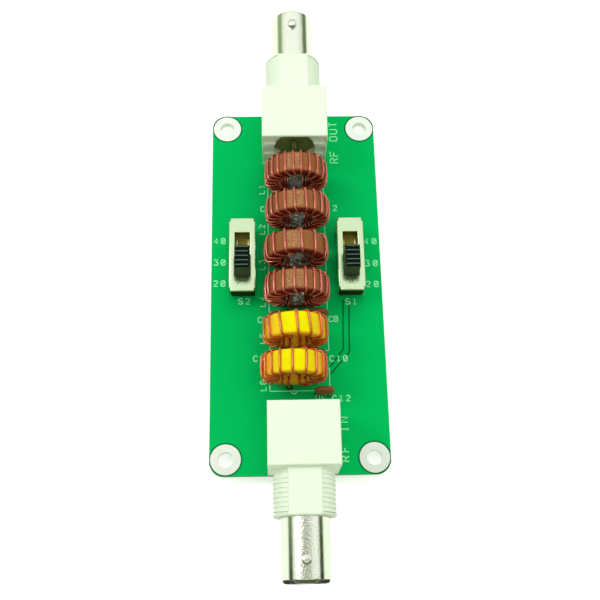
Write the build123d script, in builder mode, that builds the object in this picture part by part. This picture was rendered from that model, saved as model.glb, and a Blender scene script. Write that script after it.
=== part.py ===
from build123d import *
import math
import os

# Low pass filter module: a circuit board with a right-angle bayonet jack at each end, six ring
# coils in a row between them, capacitors in the gaps, and a slide switch on either side.
# Millimetres. +X is to the right, +Y runs along the board from the input to the output jack,
# and +Z is up. The origin is the centre of the mounting hole pattern on the board's underside.

os.makedirs("parts", exist_ok=True)

# Capacitors, which set the gaps between the coils
capacitor_width = 4.2
capacitor_thickness = 1.7
capacitor_height = 4.3
capacitor_corner = 1.3
capacitor_edge = 0.6
capacitor_lift = 0.7
capacitor_pitch = 2.54
capacitor_lead = 0.25
capacitor_lead_depth = 1.6
capacitor_clearance = 0.55

# Places of the capacitors, two after each coil: (x, shift along the board)
capacitors = [
    (-3.9, 0.0), (3.9, 0.0),
    (-3.9, 0.0), (3.9, 0.0),
    (-3.9, 0.0), (3.9, 0.0),
    (-3.9, 0.0), (4.6, 0.45),
    (-4.3, 0.0), (3.9, 0.0),
    (-4.4, -2.65), (5.3, 0.4),
]

# Ring coils: (turns, turned about the ring's axis in degrees, x, shift along the board)
core_outer_radius = 6.35
core_inner_radius = 3.85
core_height = 4.83
core_edge = 0.6
wire_radius = 0.3
wire_gap = 0.05
coil_lift = 0.2
coil_opening = 30.0
coils = [
    (20, 1, 0.1, 0.0),
    (18, 4, 0.3, -0.05),
    (12, -5, -0.15, -0.55),
    (18, 4, -0.15, -0.45),
    (13, 1, -0.7, -0.9),
    (15, -2, -1.1, 0.0),
]

# Jacks: moulded housing, thread and metal barrel
housing_width = 14.5
housing_depth = 12.9
housing_roof = 0.45
housing_edge = 0.4
bushing_radius = 6.35
bushing_length = 9.3
bushing_lift = 0.5
bushing_flat = 5.45
bushing_chamfer = 0.5
shell_radius = 4.83
shell_wall = 0.78
shell_seat = 10.2
barrel_length = 12.4
shell_chamfer = 0.3
lug_radius = 1.0
lug_reach = 1.0
lug_setback = 4.3
jack_fit = 0.03
window_width = 9.2
window_end_width = 5.2
window_top = 6.1
window_shoulder = 2.2
window_heel = 2.4
window_bottom = 4.4
channel_width = 6.4
pocket_height = 3.0
pocket_pitch = 4.5
pocket_depth = 0.5
pocket_wall = 0.3
peg_radius = 1.0
peg_spacing = 10.16
peg_setback = 4.6
peg_drop = 2.0
input_jack_x = 0.45
output_jack_x = -0.1
jack_to_coil = 3.0

# Jack inner parts
mating_depth = 9.0
nose_radius = 2.35
nose_setback = 1.2
insulator_fit = 0.03
socket_radius = 1.05
socket_bore = 0.68
socket_bore_depth = 6.0
socket_setback = 0.3
socket_length = 7.5
contact_radius = 0.45
contact_bend = 0.9
contact_tail_setback = 1.4
ground_width = 5.6
ground_thickness = 0.5
ground_fit = 0.05
ground_hole = 0.8
ground_tail_width = 1.0
ground_tail_x = -2.2

# Slide switches
switch_inset = 7.1
switch_y = 4.9
switch_travel = 5.08
knob_width = 3.15
knob_length = 5.1
knob_top_length = 5.1
knob_lean = 0.2
knob_height = 4.5
ridge_count = 5
ridge_pitch = 0.95
ridge_width = 0.45
ridge_height = 0.35
slot_side_clearance = 0.1
slot_end_clearance = 0.06
shoe_width = 3.7
shoe_length = 7.0
shoe_height = 1.6
shoe_clearance = 0.1
cover_thickness = 0.5
cover_length = 17.2
skirt_length = 15.7
skirt_height = 4.7
skirt_thickness = 0.32
base_end_wall = 1.7
base_side_wall = 0.6
base_floor = 2.6
base_fit = 0.04
wiper_space = 0.7
terminal_pitch = 2.54
terminal_count = 4
terminal_row_x = 1.3
terminal_head_width = 0.4
terminal_head_length = 1.5
terminal_head_height = 0.3
terminal_pin_width = 0.6
terminal_pin_thickness = 0.3
wiper_width = 0.6
wiper_thickness = 0.15
wiper_dome = 0.3
wiper_clearance = 0.03

# Board, mounting holes and soldering
board_width = 38.0
board_thickness = 1.6
board_corner = 3.0
hole_radius = 1.6
hole_inset = 3.4
pad_radius = 3.2
plating = 0.05
lead_clearance = 0.15
lead_drop = 1.6
solder_height = 0.9
solder_reach = 0.4
solder_tip = 0.12
solder_fit = 0.02

# Coil sizes worked out from the ring and the wire
winding_inner = core_inner_radius - wire_gap - wire_radius
winding_outer = core_outer_radius + wire_gap + wire_radius
winding_face = core_height / 2 + wire_gap + wire_radius
winding_depth = 2 * (winding_face + wire_radius)
winding_bend = (2 - math.sqrt(2)) * (core_edge + wire_gap + wire_radius)
coil_z = board_thickness + coil_lift + wire_radius + winding_outer
coil_pitch = winding_depth + capacitor_thickness + 2 * capacitor_clearance
row_half = 2.5 * coil_pitch
row_shift = 1.1

# The board is as long as the coils, the last row of capacitors and the two jacks need
board_half = row_half + row_shift + winding_depth / 2 + jack_to_coil + housing_depth
board_length = 2 * board_half
hole_spacing_x = board_width - 2 * hole_inset
hole_spacing_y = board_length - 2 * hole_inset

# Coil and capacitor places
coil_places = []
for number, (turns, roll, x, shift) in enumerate(coils):
    coil_places.append((turns, roll, x, row_shift + row_half - number * coil_pitch + shift))
capacitor_places = []
for number, place in enumerate(coil_places):
    is_last = number == len(coil_places) - 1
    after = place[3] - coil_pitch if is_last else coil_places[number + 1][3]
    row_y = (place[3] + after) / 2
    for x, shift in capacitors[2 * number:2 * number + 2]:
        capacitor_places.append((x, row_y + shift))

# Heights of the jack's axis and of the switch's parts
axis_height = bushing_radius + bushing_lift
housing_height = axis_height + bushing_radius + housing_roof
shell_inner = shell_radius - shell_wall
barrel_end = bushing_length + barrel_length
tail_depth = shell_seat + contact_tail_setback
lead_tip = -lead_drop
floor_z = board_thickness + base_floor
shoe_z = floor_z + wiper_space
cover_z = shoe_z + shoe_height + shoe_clearance
base_width = shoe_width + 2 * (shoe_clearance + base_side_wall)
cavity_length = shoe_length + switch_travel + 2 * shoe_clearance
base_length = cavity_length + 2 * base_end_wall
slot_width = knob_width + 2 * slot_side_clearance
slot_length = knob_length + switch_travel + 2 * slot_end_clearance

jacks = [("input", input_jack_x, -1), ("output", output_jack_x, 1)]
switch_x = board_width / 2 - switch_inset
switches = [("left", -switch_x), ("right", switch_x)]


def jack_plane(x, side):
    """The housing's front face, centred on the jack's axis: local y is up, z points out."""
    origin = (x, side * board_half, board_thickness + axis_height)
    return Plane(origin=origin, x_dir=(-side, 0, 0), z_dir=(0, side, 0))


def window_outline(fit):
    """The corners of the jack's eight-sided rear window, brought in by a fit."""
    half, end = window_width / 2 - fit, window_end_width / 2 - fit
    right = [(end, window_top - fit), (half, window_shoulder - fit),
             (half, fit - window_heel), (end, fit - window_bottom)]
    return right + [(-across, up) for across, up in reversed(right)]


def coil_point(x, y, radius, along, degrees):
    """A point about a coil's axis; zero degrees is its top, and along runs with the axis."""
    angle = math.radians(degrees)
    return (x + radius * math.sin(angle), y + along, coil_z + radius * math.cos(angle))


def winding_path(turns, roll, x, y):
    """The wire's centre line: up from the board, round the ring turn by turn, and down."""
    first = 180 + coil_opening / 2 + roll
    step = (360 - coil_opening) / turns
    face = winding_face
    inner, outer, bend = winding_inner, winding_outer, winding_bend
    start = coil_point(x, y, inner + bend, -face, first)
    points = [(start[0], start[1], lead_tip), start]
    for turn in range(turns + 1):
        angle = first + turn * step
        points.append(coil_point(x, y, inner, bend - face, angle))
        points.append(coil_point(x, y, inner, face - bend, angle))
        points.append(coil_point(x, y, inner + bend, face, angle))
        if turn < turns:
            half = angle + step / 2
            points.append(coil_point(x, y, outer - bend, face, half))
            points.append(coil_point(x, y, outer, face - bend, half))
            points.append(coil_point(x, y, outer, bend - face, half))
            points.append(coil_point(x, y, outer - bend, -face, half))
            points.append(coil_point(x, y, inner + bend, -face, angle + step))
    end = points[-1]
    points.append((end[0], end[1], lead_tip))
    return points


# Leads through the board: (x, y, radius of the round lead, or of the circle about a flat one)
leads = []
for place in coil_places:
    path = winding_path(*place)
    for tip in (path[0], path[-1]):
        leads.append((tip[0], tip[1], wire_radius))
for x, y in capacitor_places:
    for side in (-1, 1):
        leads.append((x + side * capacitor_pitch / 2, y, capacitor_lead))
terminal_radius = math.hypot(terminal_pin_width, terminal_pin_thickness) / 2
terminal_places = []
for row in (-1, 1):
    for number in range(terminal_count):
        offset = (number - (terminal_count - 1) / 2) * terminal_pitch
        terminal_places.append((row * terminal_row_x, switch_y + offset))
for name, x in switches:
    for row_x, y in terminal_places:
        leads.append((x + row_x, y, terminal_radius))
ground_radius = math.hypot(ground_tail_width, ground_thickness) / 2
ground_depth = shell_seat + ground_thickness / 2
peg_places = []
for name, x, side in jacks:
    leads.append((x, side * (board_half - tail_depth), contact_radius))
    leads.append((x - side * ground_tail_x, side * (board_half - ground_depth), ground_radius))
    for across in (-peg_spacing / 2, peg_spacing / 2):
        peg_places.append((x + across, side * (board_half - peg_setback)))

# Circuit board with its mounting holes, lead holes and peg holes
with BuildPart() as circuit_board:
    with BuildSketch():
        RectangleRounded(board_width, board_length, board_corner)
        with GridLocations(hole_spacing_x, hole_spacing_y, 2, 2):
            Circle(hole_radius + plating, mode=Mode.SUBTRACT)
        with Locations(*peg_places):
            Circle(peg_radius + jack_fit, mode=Mode.SUBTRACT)
        for x, y, radius in leads:
            with Locations((x, y)):
                Circle(radius + lead_clearance, mode=Mode.SUBTRACT)
    extrude(amount=board_thickness)
circuit_board.part.label = "circuit_board"
export_step(circuit_board.part, "parts/circuit_board.step")

# Plated pads and barrels of the four mounting holes
with BuildPart() as mounting_hole_plating:
    for level in (-plating, board_thickness):
        with BuildSketch(Plane.XY.offset(level)):
            with GridLocations(hole_spacing_x, hole_spacing_y, 2, 2):
                Circle(pad_radius)
        extrude(amount=plating)
    with BuildSketch():
        with GridLocations(hole_spacing_x, hole_spacing_y, 2, 2):
            Circle(hole_radius + plating)
    extrude(amount=board_thickness)
    with BuildSketch(Plane.XY.offset(-plating)):
        with GridLocations(hole_spacing_x, hole_spacing_y, 2, 2):
            Circle(hole_radius)
    extrude(amount=board_thickness + 2 * plating, mode=Mode.SUBTRACT)
mounting_hole_plating.part.label = "mounting_hole_plating"
export_step(mounting_hole_plating.part, "parts/mounting_hole_plating.step")

# Solder cones under the board, each round its lead
with BuildPart() as solder_joints:
    for x, y, radius in leads:
        foot = radius + lead_clearance + solder_reach
        tip = radius + solder_tip
        middle = (x, y, -solder_height / 2)
        with Locations(Location(middle)):
            Cone(tip, foot, solder_height)
            Cylinder(radius + solder_fit, solder_height, mode=Mode.SUBTRACT)
solder_joints.part.label = "solder_joints"
export_step(solder_joints.part, "parts/solder_joints.step")

# Jacks
for name, x, side in jacks:
    front = jack_plane(x, side)
    rear = front.offset(-housing_depth)
    underside = -axis_height

    # Moulded housing: block, bushing with a flat on top, rear window with side pockets, and pegs
    with BuildPart() as housing:
        with BuildSketch(rear):
            with Locations((0, underside + housing_height / 2)):
                Rectangle(housing_width, housing_height)
        extrude(amount=housing_depth)
        fillet(housing.faces().sort_by(Axis.Z)[-1].edges(), radius=housing_edge)
        with BuildSketch(front):
            Circle(bushing_radius)
            with Locations((0, bushing_flat + bushing_radius)):
                Rectangle(2 * bushing_radius, 2 * bushing_radius, mode=Mode.SUBTRACT)
        extrude(amount=bushing_length)
        end_face = housing.faces().sort_by(Axis.Y)[-1 if side > 0 else 0]
        chamfer(end_face.edges(), length=bushing_chamfer)
        with BuildSketch(front.offset(bushing_length)):
            Circle(shell_radius + jack_fit)
        extrude(amount=-bushing_length - shell_seat, mode=Mode.SUBTRACT)
        with BuildSketch(rear):
            Polygon(*window_outline(0), align=None)
            with Locations((0, underside / 2)):
                Rectangle(channel_width, -underside)
        extrude(amount=housing_depth - shell_seat, mode=Mode.SUBTRACT)
        with BuildSketch(rear):
            pocket_width = housing_width - 2 * pocket_wall
            with GridLocations(pocket_width, pocket_pitch, 1, 3):
                Rectangle(pocket_width, pocket_height)
        extrude(amount=pocket_depth, mode=Mode.SUBTRACT)
        with BuildSketch(Plane.XY.offset(board_thickness)):
            with Locations((x, side * (board_half - peg_setback))):
                with GridLocations(peg_spacing, 1, 2, 1):
                    Circle(peg_radius)
        extrude(amount=-board_thickness - peg_drop)
    housing.part.label = f"{name}_jack_housing"
    export_step(housing.part, f"parts/{name}_jack_housing.step")

    # Metal barrel with its two bayonet lugs
    with BuildPart() as shell:
        with BuildSketch(front.offset(-shell_seat)):
            Circle(shell_radius)
        extrude(amount=shell_seat + barrel_end)
        mouth = shell.edges().filter_by(GeomType.CIRCLE).sort_by(Axis.Y)[-1 if side > 0 else 0]
        chamfer(mouth, length=shell_chamfer)
        lug_centre = front.offset(barrel_end - lug_setback).origin
        with BuildSketch(Plane(origin=lug_centre, z_dir=(0, 0, 1))):
            Circle(lug_radius)
        extrude(amount=shell_radius + lug_reach, both=True)
        with BuildSketch(front.offset(-shell_seat)):
            Circle(shell_inner)
        extrude(amount=shell_seat + barrel_end, mode=Mode.SUBTRACT)
    shell.part.label = f"{name}_jack_shell"
    export_step(shell.part, f"parts/{name}_jack_shell.step")

    # White insulator: a plug in the barrel and a nose round the centre socket
    plug_end = barrel_end - mating_depth
    nose_end = barrel_end - nose_setback
    socket_end = nose_end - socket_setback
    with BuildPart() as insulator:
        with BuildSketch(front.offset(-shell_seat)):
            Circle(shell_inner - insulator_fit)
        extrude(amount=shell_seat + plug_end)
        with BuildSketch(front.offset(plug_end)):
            Circle(nose_radius)
        extrude(amount=mating_depth - nose_setback)
        with BuildSketch(front.offset(-shell_seat)):
            Circle(contact_radius + insulator_fit)
        extrude(amount=shell_seat + nose_end, mode=Mode.SUBTRACT)
        with BuildSketch(front.offset(nose_end)):
            Circle(socket_radius + insulator_fit)
        extrude(amount=-socket_setback - socket_length, mode=Mode.SUBTRACT)
    insulator.part.label = f"{name}_jack_insulator"
    export_step(insulator.part, f"parts/{name}_jack_insulator.step")

    # Centre contact: a socket in front, a rod behind, bent down to a tail through the board
    tail_tip = lead_tip - board_thickness - axis_height
    with BuildPart() as contact:
        with BuildLine(Plane(origin=front.origin, x_dir=front.z_dir, z_dir=front.x_dir)) as route:
            FilletPolyline(
                (socket_end - socket_length, 0),
                (-tail_depth, 0),
                (-tail_depth, -tail_tip),
                radius=contact_bend,
            )
        with BuildSketch(Plane(origin=route.line @ 0, z_dir=route.line % 0)):
            Circle(contact_radius)
        sweep(path=route.line)
        with BuildSketch(front.offset(socket_end)):
            Circle(socket_radius)
        extrude(amount=-socket_length)
        with BuildSketch(front.offset(socket_end)):
            Circle(socket_bore)
        extrude(amount=-socket_bore_depth, mode=Mode.SUBTRACT)
    contact.part.label = f"{name}_jack_contact"
    export_step(contact.part, f"parts/{name}_jack_contact.step")

    # Ground tab: a plate that fills the window behind the barrel, with a flat tail through the board
    with BuildPart() as ground_tab:
        with BuildSketch(front.offset(-shell_seat)):
            Polygon(*window_outline(ground_fit), align=None)
            Rectangle(ground_width, 2 * (shell_radius - shell_wall / 2))
            with Locations((ground_tail_x, tail_tip / 2)):
                Rectangle(ground_tail_width, -tail_tip)
            Circle(ground_hole, mode=Mode.SUBTRACT)
        extrude(amount=-ground_thickness)
    ground_tab.part.label = f"{name}_jack_ground_tab"
    export_step(ground_tab.part, f"parts/{name}_jack_ground_tab.step")

# Coils: a ring core and one continuous wire wound round it
for number, (turns, roll, x, y) in enumerate(coil_places, start=1):
    middle = Plane(origin=(x, y + core_height / 2, coil_z), z_dir=(0, -1, 0))
    with BuildPart() as core:
        with BuildSketch(middle):
            Circle(core_outer_radius)
            Circle(core_inner_radius, mode=Mode.SUBTRACT)
        extrude(amount=core_height)
        fillet(core.edges().filter_by(GeomType.CIRCLE), radius=core_edge)
    core.part.label = f"coil_{number}_core"
    export_step(core.part, f"parts/coil_{number}_core.step")

    with BuildPart() as winding:
        with BuildLine() as wire:
            Polyline(*winding_path(turns, roll, x, y))
        with BuildSketch(Plane(origin=wire.line @ 0, z_dir=wire.line % 0)):
            Circle(wire_radius)
        sweep(path=wire.line, transition=Transition.RIGHT)
    winding.part.label = f"coil_{number}_winding"
    export_step(winding.part, f"parts/coil_{number}_winding.step")

# Capacitors: dipped bodies, with all their leads in one group
body_z = board_thickness + capacitor_lift
for number, (x, y) in enumerate(capacitor_places, start=1):
    with BuildPart() as capacitor:
        back_face = (x, y + capacitor_thickness / 2, body_z)
        with BuildSketch(Plane(origin=back_face, x_dir=(1, 0, 0), z_dir=(0, -1, 0))):
            with Locations((0, capacitor_height / 2)):
                RectangleRounded(capacitor_width, capacitor_height, capacitor_corner)
        extrude(amount=capacitor_thickness)
        fillet(capacitor.faces().filter_by(Axis.Y).edges(), radius=capacitor_edge)
        with BuildSketch(Plane(origin=(x, y, body_z))):
            with GridLocations(capacitor_pitch, 1, 2, 1):
                Circle(capacitor_lead + solder_fit)
        extrude(amount=capacitor_lead_depth, mode=Mode.SUBTRACT)
    capacitor.part.label = f"capacitor_{number}"
    export_step(capacitor.part, f"parts/capacitor_{number}.step")

with BuildPart() as capacitor_leads:
    with BuildSketch(Plane.XY.offset(lead_tip)):
        with Locations(*capacitor_places):
            with GridLocations(capacitor_pitch, 1, 2, 1):
                Circle(capacitor_lead)
    extrude(amount=body_z + capacitor_lead_depth - solder_fit - lead_tip)
capacitor_leads.part.label = "capacitor_leads"
export_step(capacitor_leads.part, "parts/capacitor_leads.step")

# Slide switches
for name, x in switches:
    # Black base: a tray for the slider, drilled for the terminals
    with BuildPart() as base:
        with BuildSketch(Plane(origin=(x, switch_y, board_thickness))):
            Rectangle(base_width, base_length)
        extrude(amount=cover_z - board_thickness)
        with BuildSketch(Plane(origin=(x, switch_y, floor_z))):
            Rectangle(shoe_width + 2 * shoe_clearance, cavity_length)
        extrude(amount=cover_z - floor_z, mode=Mode.SUBTRACT)
        with BuildSketch(Plane(origin=(x, 0, board_thickness))):
            with Locations(*terminal_places):
                Rectangle(terminal_pin_width + 2 * base_fit, terminal_pin_thickness + 2 * base_fit)
        extrude(amount=base_floor, mode=Mode.SUBTRACT)
    base.part.label = f"{name}_switch_base"
    export_step(base.part, f"parts/{name}_switch_base.step")

    # Pale cover: a slotted plate with a skirt down each side of the base
    with BuildPart() as cover:
        cover_width = base_width + 2 * base_fit
        with BuildSketch(Plane(origin=(x, switch_y, cover_z))):
            Rectangle(cover_width, cover_length)
            Rectangle(cover_width + 2 * skirt_thickness, skirt_length)
            Rectangle(slot_width, slot_length, mode=Mode.SUBTRACT)
        extrude(amount=cover_thickness)
        with BuildSketch(Plane(origin=(x, switch_y, cover_z))):
            Rectangle(cover_width + 2 * skirt_thickness, skirt_length)
            Rectangle(cover_width, skirt_length, mode=Mode.SUBTRACT)
        extrude(amount=cover_thickness - skirt_height)
    cover.part.label = f"{name}_switch_cover"
    export_step(cover.part, f"parts/{name}_switch_cover.step")

    # Black slider at the near end of its travel: shoe, tapered knob and finger ridges
    knob_y = switch_y - switch_travel / 2
    knob_z = shoe_z + shoe_height
    knob_top = cover_z + cover_thickness + knob_height
    with BuildPart() as slider:
        with BuildSketch(Plane(origin=(x, knob_y, shoe_z))):
            Rectangle(shoe_width, shoe_length)
        extrude(amount=shoe_height)
        with BuildSketch(Plane(origin=(x, knob_y, knob_z))):
            Rectangle(knob_width, knob_length)
        with BuildSketch(Plane(origin=(x, knob_y + knob_lean, knob_top))):
            Rectangle(knob_width, knob_top_length)
        loft()
        with BuildSketch(Plane(origin=(x, knob_y + knob_lean, knob_top))):
            with GridLocations(1, ridge_pitch, 1, ridge_count):
                Rectangle(knob_width, ridge_width)
        extrude(amount=ridge_height)
    slider.part.label = f"{name}_switch_slider"
    export_step(slider.part, f"parts/{name}_switch_slider.step")

    # Terminals: a flat head on the base's floor and a pin through the board
    with BuildPart() as terminals:
        with BuildSketch(Plane(origin=(x, 0, floor_z))):
            with Locations(*terminal_places):
                Rectangle(terminal_head_width, terminal_head_length)
        extrude(amount=terminal_head_height)
        with BuildSketch(Plane(origin=(x, 0, lead_tip))):
            with Locations(*terminal_places):
                Rectangle(terminal_pin_width, terminal_pin_thickness)
        extrude(amount=floor_z - lead_tip)
    terminals.part.label = f"{name}_switch_terminals"
    export_step(terminals.part, f"parts/{name}_switch_terminals.step")

    # Sprung wipers under the shoe, each with two domes that bridge neighbouring terminals
    with BuildPart() as wipers:
        dome_z = floor_z + terminal_head_height + wiper_clearance
        with BuildSketch(Plane(origin=(x, knob_y, shoe_z - wiper_thickness))):
            with GridLocations(2 * terminal_row_x, 1, 2, 1):
                Rectangle(wiper_width, terminal_pitch + 2 * wiper_dome)
        extrude(amount=wiper_thickness)
        with BuildSketch(Plane(origin=(x, knob_y, dome_z))):
            with GridLocations(2 * terminal_row_x, terminal_pitch, 2, 2):
                Rectangle(wiper_width, wiper_dome)
        extrude(amount=shoe_z - wiper_thickness - dome_z)
    wipers.part.label = f"{name}_switch_wipers"
    export_step(wipers.part, f"parts/{name}_switch_wipers.step")
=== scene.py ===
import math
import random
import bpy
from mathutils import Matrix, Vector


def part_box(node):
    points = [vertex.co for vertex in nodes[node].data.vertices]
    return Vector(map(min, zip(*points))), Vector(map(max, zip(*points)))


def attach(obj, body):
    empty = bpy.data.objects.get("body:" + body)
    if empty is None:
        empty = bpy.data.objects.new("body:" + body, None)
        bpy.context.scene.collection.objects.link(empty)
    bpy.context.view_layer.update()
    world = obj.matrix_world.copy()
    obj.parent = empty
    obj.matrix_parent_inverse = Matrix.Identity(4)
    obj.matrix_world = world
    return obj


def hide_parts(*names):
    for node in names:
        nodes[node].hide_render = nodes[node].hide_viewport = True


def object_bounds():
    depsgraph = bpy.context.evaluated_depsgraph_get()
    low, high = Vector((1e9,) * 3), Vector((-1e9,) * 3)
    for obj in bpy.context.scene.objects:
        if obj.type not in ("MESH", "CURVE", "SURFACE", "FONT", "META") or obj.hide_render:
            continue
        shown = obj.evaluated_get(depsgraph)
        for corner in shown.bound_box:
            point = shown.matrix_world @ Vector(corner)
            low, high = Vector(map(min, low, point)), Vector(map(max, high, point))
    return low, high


bl_info = {
    "name": "Low Pass Filter Module",
    "version": (1, 0, 0),
    "blender": (4, 5, 0),
    "location": "View3D > Sidebar > Filter Module",
    "description": "Dresses the filter module's board, jacks, coils, capacitors and slide switches",
    "category": "Object",
}

import bmesh
import bpy
from bpy.props import FloatProperty, FloatVectorProperty, IntProperty, PointerProperty
from bpy.types import Operator, Panel, PropertyGroup
from mathutils import Matrix, Vector

MM = 0.001
MODULE = "module"
FLOAT = "NodeSocketFloat"
MATERIAL = "NodeSocketMaterial"

# Points nearer than this are one point, and edges sharper than this many degrees stay sharp
TOUCHING = 0.001 * MM
SHARP = 38.0

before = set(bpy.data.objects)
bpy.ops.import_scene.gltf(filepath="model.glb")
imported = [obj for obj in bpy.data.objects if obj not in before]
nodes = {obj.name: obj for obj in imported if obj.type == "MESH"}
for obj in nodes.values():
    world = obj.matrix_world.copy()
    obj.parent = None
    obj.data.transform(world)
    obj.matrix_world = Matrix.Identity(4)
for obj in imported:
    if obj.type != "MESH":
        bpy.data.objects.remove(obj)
cad_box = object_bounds()

# Places and sizes read from the frame
board_low, board_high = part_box("circuit_board")
board_top = board_high.z
board_bottom = board_low.z
JACKS = ("input", "output")
SWITCHES = ("left", "right")
COILS = range(1, 7)
CAPACITORS = range(1, 13)
RED_COILS = (1, 2, 3, 4)

# Where each coil's upper turns cross its rim, in degrees from the top, as the photograph shows them
UPPER_TURNS = {
    1: (-68, -52, -37.5, -21.5, -6, 9, 26, 43.5, 61, 80),
    2: (-78, -59, -43, -25.5, -6.5, 15, 32.5, 50, 66, 81),
    3: (-72, -47, -22.5, 9, 36, 68),
    4: (-82, -65, -47, -27, -6, 15, 32, 48, 66, 83),
    5: (-76, -55, -29, 2.5, 26, 52, 74),
    6: (-83, -63, -45, -27, -4, 21, 42, 61, 82),
}

# Turns on each ring, and how far each turn leans over the rim, in degrees
TURNS = {1: 20, 2: 18, 3: 12, 4: 18, 5: 13, 6: 15}
SLANTS = {1: 0.3, 2: 0.8, 3: 0.5, 4: -0.2, 5: 2.2, 6: -0.3}


# Sizes and colours that a user would change

def length(name, description, default):
    return FloatProperty(name=name, description=description, default=default, unit="LENGTH", precision=5)


def colour(name, description, default):
    return FloatVectorProperty(
        name=name, description=description, subtype="COLOR", size=3, min=0.0, max=1.0, default=default
    )


def factor(name, description, default, high=1.0):
    return FloatProperty(
        name=name, description=description, subtype="FACTOR", min=0.0, max=high, default=default
    )


class BoardLook(PropertyGroup):
    mask: colour("Solder mask", "Colour of the board's two faces", (0.0, 0.5, 0.12))
    gap: colour("Copper gap", "Colour of the mask where there is no copper under it", (0.0, 0.15, 0.04))
    edge: colour("Cut edge", "Colour of the board's sawn edge", (0.04, 0.42, 0.13))
    ink: colour("Print", "Colour of the printed lines and letters", (0.36, 1.0, 0.56))
    # Painted shade: the switch outlines' print is dimmer than the rest, for the shade of the switches beside
    # it
    shaded_ink: colour("Faint print", "Colour of the thin outlines round the switches", (0.05, 0.6, 0.22))
    pad: colour("Pads", "Colour of the tinned pads round the mounting holes", (0.8, 0.87, 0.76))
    stroke: length("Print stroke", "Width of a printed line", 0.24 * MM)
    ink_depth: length("Print thickness", "Height of the print above the board", 0.02 * MM)
    gap_width: length("Gap width", "Width of the gaps beside a copper track", 0.36 * MM)
    track_width: length("Track width", "Width of the copper tracks under the board", 0.9 * MM)
    solder_height: length("Solder height", "Height of the solder before a lead's size scales it", 0.9 * MM)


class JackLook(PropertyGroup):
    plastic: colour("Moulding", "Colour of the jack's housing", (0.875, 0.95, 0.84))
    metal: colour("Plating", "Colour of the nickel barrel", (0.78, 0.83, 0.7))
    metal_roughness: factor("Plating roughness", "How dull the barrel is", 0.16)
    thread_pitch: length("Thread pitch", "Distance from one thread ridge to the next", 0.907 * MM)
    thread_depth: length("Thread depth", "Height of the thread's ridges", 0.5 * MM)
    edge_round: length("Moulded edge", "Rounding of the housing's edges", 0.2 * MM)
    scuff: factor("Plating waviness", "How wavy the plating's surface is", 0.8)
    # Painted shade: the tab's dull olive stands in for the shade inside the rear window
    tab: colour("Ground tab", "Colour of the tab inside the rear window", (0.42, 0.35, 0.14))


class CoilLook(PropertyGroup):
    iron_red: colour("Red core", "Coating of the red-brown cores", (0.36, 0.13, 0.05))
    iron_yellow: colour("Yellow core", "Coating of the yellow cores", (1.0, 0.87, 0.0))
    bare_iron: colour("Bare iron", "Lacquered iron in the red cores' bores", (0.1, 0.1, 0.08))
    # Painted highlight: the pale streaks in the bores' colour stand in for glints on the lacquer
    lacquer: colour("Lacquer", "Pale streaks of lacquer in the red cores' bores", (0.6, 0.64, 0.52))
    stamp: colour("Stamp", "Rubbed ink patch on top of each red core", (0.55, 0.34, 0.18))
    # Painted shade: the red cores' flat sides get this deep maroon for the shade on them, though the coating
    # is the same all over
    side_shade: colour("Red sides", "Coating on the flat sides of the red cores", (0.17, 0.02, 0.018))
    # Painted shade: the yellow cores turn orange below the crown and in the bore, for the shade there
    side_shade_yellow: colour("Yellow sides", "Coating of the yellow cores below the crown", (1.0, 0.52, 0.03))
    wire_red: colour("Red wire", "Enamelled wire of the red cores", (0.62, 0.065, 0.012))
    wire_orange: colour("Orange wire", "Enamelled wire of the yellow cores", (0.72, 0.13, 0.008))
    wire_radius: length("Wire radius", "Half the wire's thickness", 0.25 * MM)
    slack: length("Slack", "How far the wire stands off a ring's sides", 0.3 * MM)
    wobble: factor("Hand winding", "How unevenly the wire is laid", 0.5)


class SwitchLook(PropertyGroup):
    cover: colour("Cover plate", "Colour of the switch's metal cover", (0.6, 0.76, 0.48))
    # Painted reflection: a dark patch that stands in for the knob mirrored in the cover
    painted_reflection: colour("Smear", "Dark smear on the cover, beyond the knob", (0.14, 0.19, 0.09))
    base: colour("Base", "Colour of the switch's moulded base", (0.03, 0.026, 0.01))
    tray: colour("Slot floor", "Colour of the phenolic seen through the slot", (0.36, 0.29, 0.05))
    knob: colour("Knob", "Colour of the slider's top", (0.002, 0.009, 0.006))
    # Painted light: the knob's upright sides are paler for the light they catch from the front
    painted_side_light: colour("Knob sides", "Colour of the slider's worn sides", (0.055, 0.09, 0.04))
    ridge_pitch: length("Ridge pitch", "Distance between the finger ridges", 1.03 * MM)
    ridge_width: length("Ridge width", "Width of one finger ridge", 0.22 * MM)
    # Painted highlight: the ridges are paler for the light their crests catch
    ridge: colour("Worn ridges", "Colour of the finger ridges' rubbed crests", (0.11, 0.16, 0.14))
    ridges: IntProperty(name="Ridges", description="Finger ridges on each knob", default=5, min=1, max=9)


class StageLook(PropertyGroup):
    floor: colour("Floor", "Colour of the floor", (0.9, 0.9, 0.9))
    floor_size: length("Floor size", "Width of the floor", 3.0)
    sky: factor("Sky light", "Strength of the light from the sky", 0.6, 2.0)
    mirrored_sky: factor("Mirrored sky", "Brightness of the sky that bright metal shows", 1.2, 2.0)
    mirrored_floor: factor("Mirrored floor", "Glow of the floor that bright metal shows", 0.32, 2.0)
    horizon: factor("Horizon", "Brightness of the horizon that bright metal shows", 0.45, 2.0)
    fill_power: FloatProperty(name="Fill", description="Power of the large lamp", default=1.35, unit="POWER")
    fill_size: length("Fill size", "Width of the large lamp", 0.6)
    key_power: FloatProperty(name="Key", description="Power of the small lamp", default=0.62, unit="POWER")
    key_size: length("Key size", "Width of the small lamp", 0.16)


LOOKS = {
    "board_look": BoardLook,
    "jack_look": JackLook,
    "coil_look": CoilLook,
    "switch_look": SwitchLook,
    "stage_look": StageLook,
}


# Meshes

def new_object(name, data):
    made = bpy.data.objects.new(name, data)
    bpy.context.scene.collection.objects.link(made)
    return made


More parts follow.
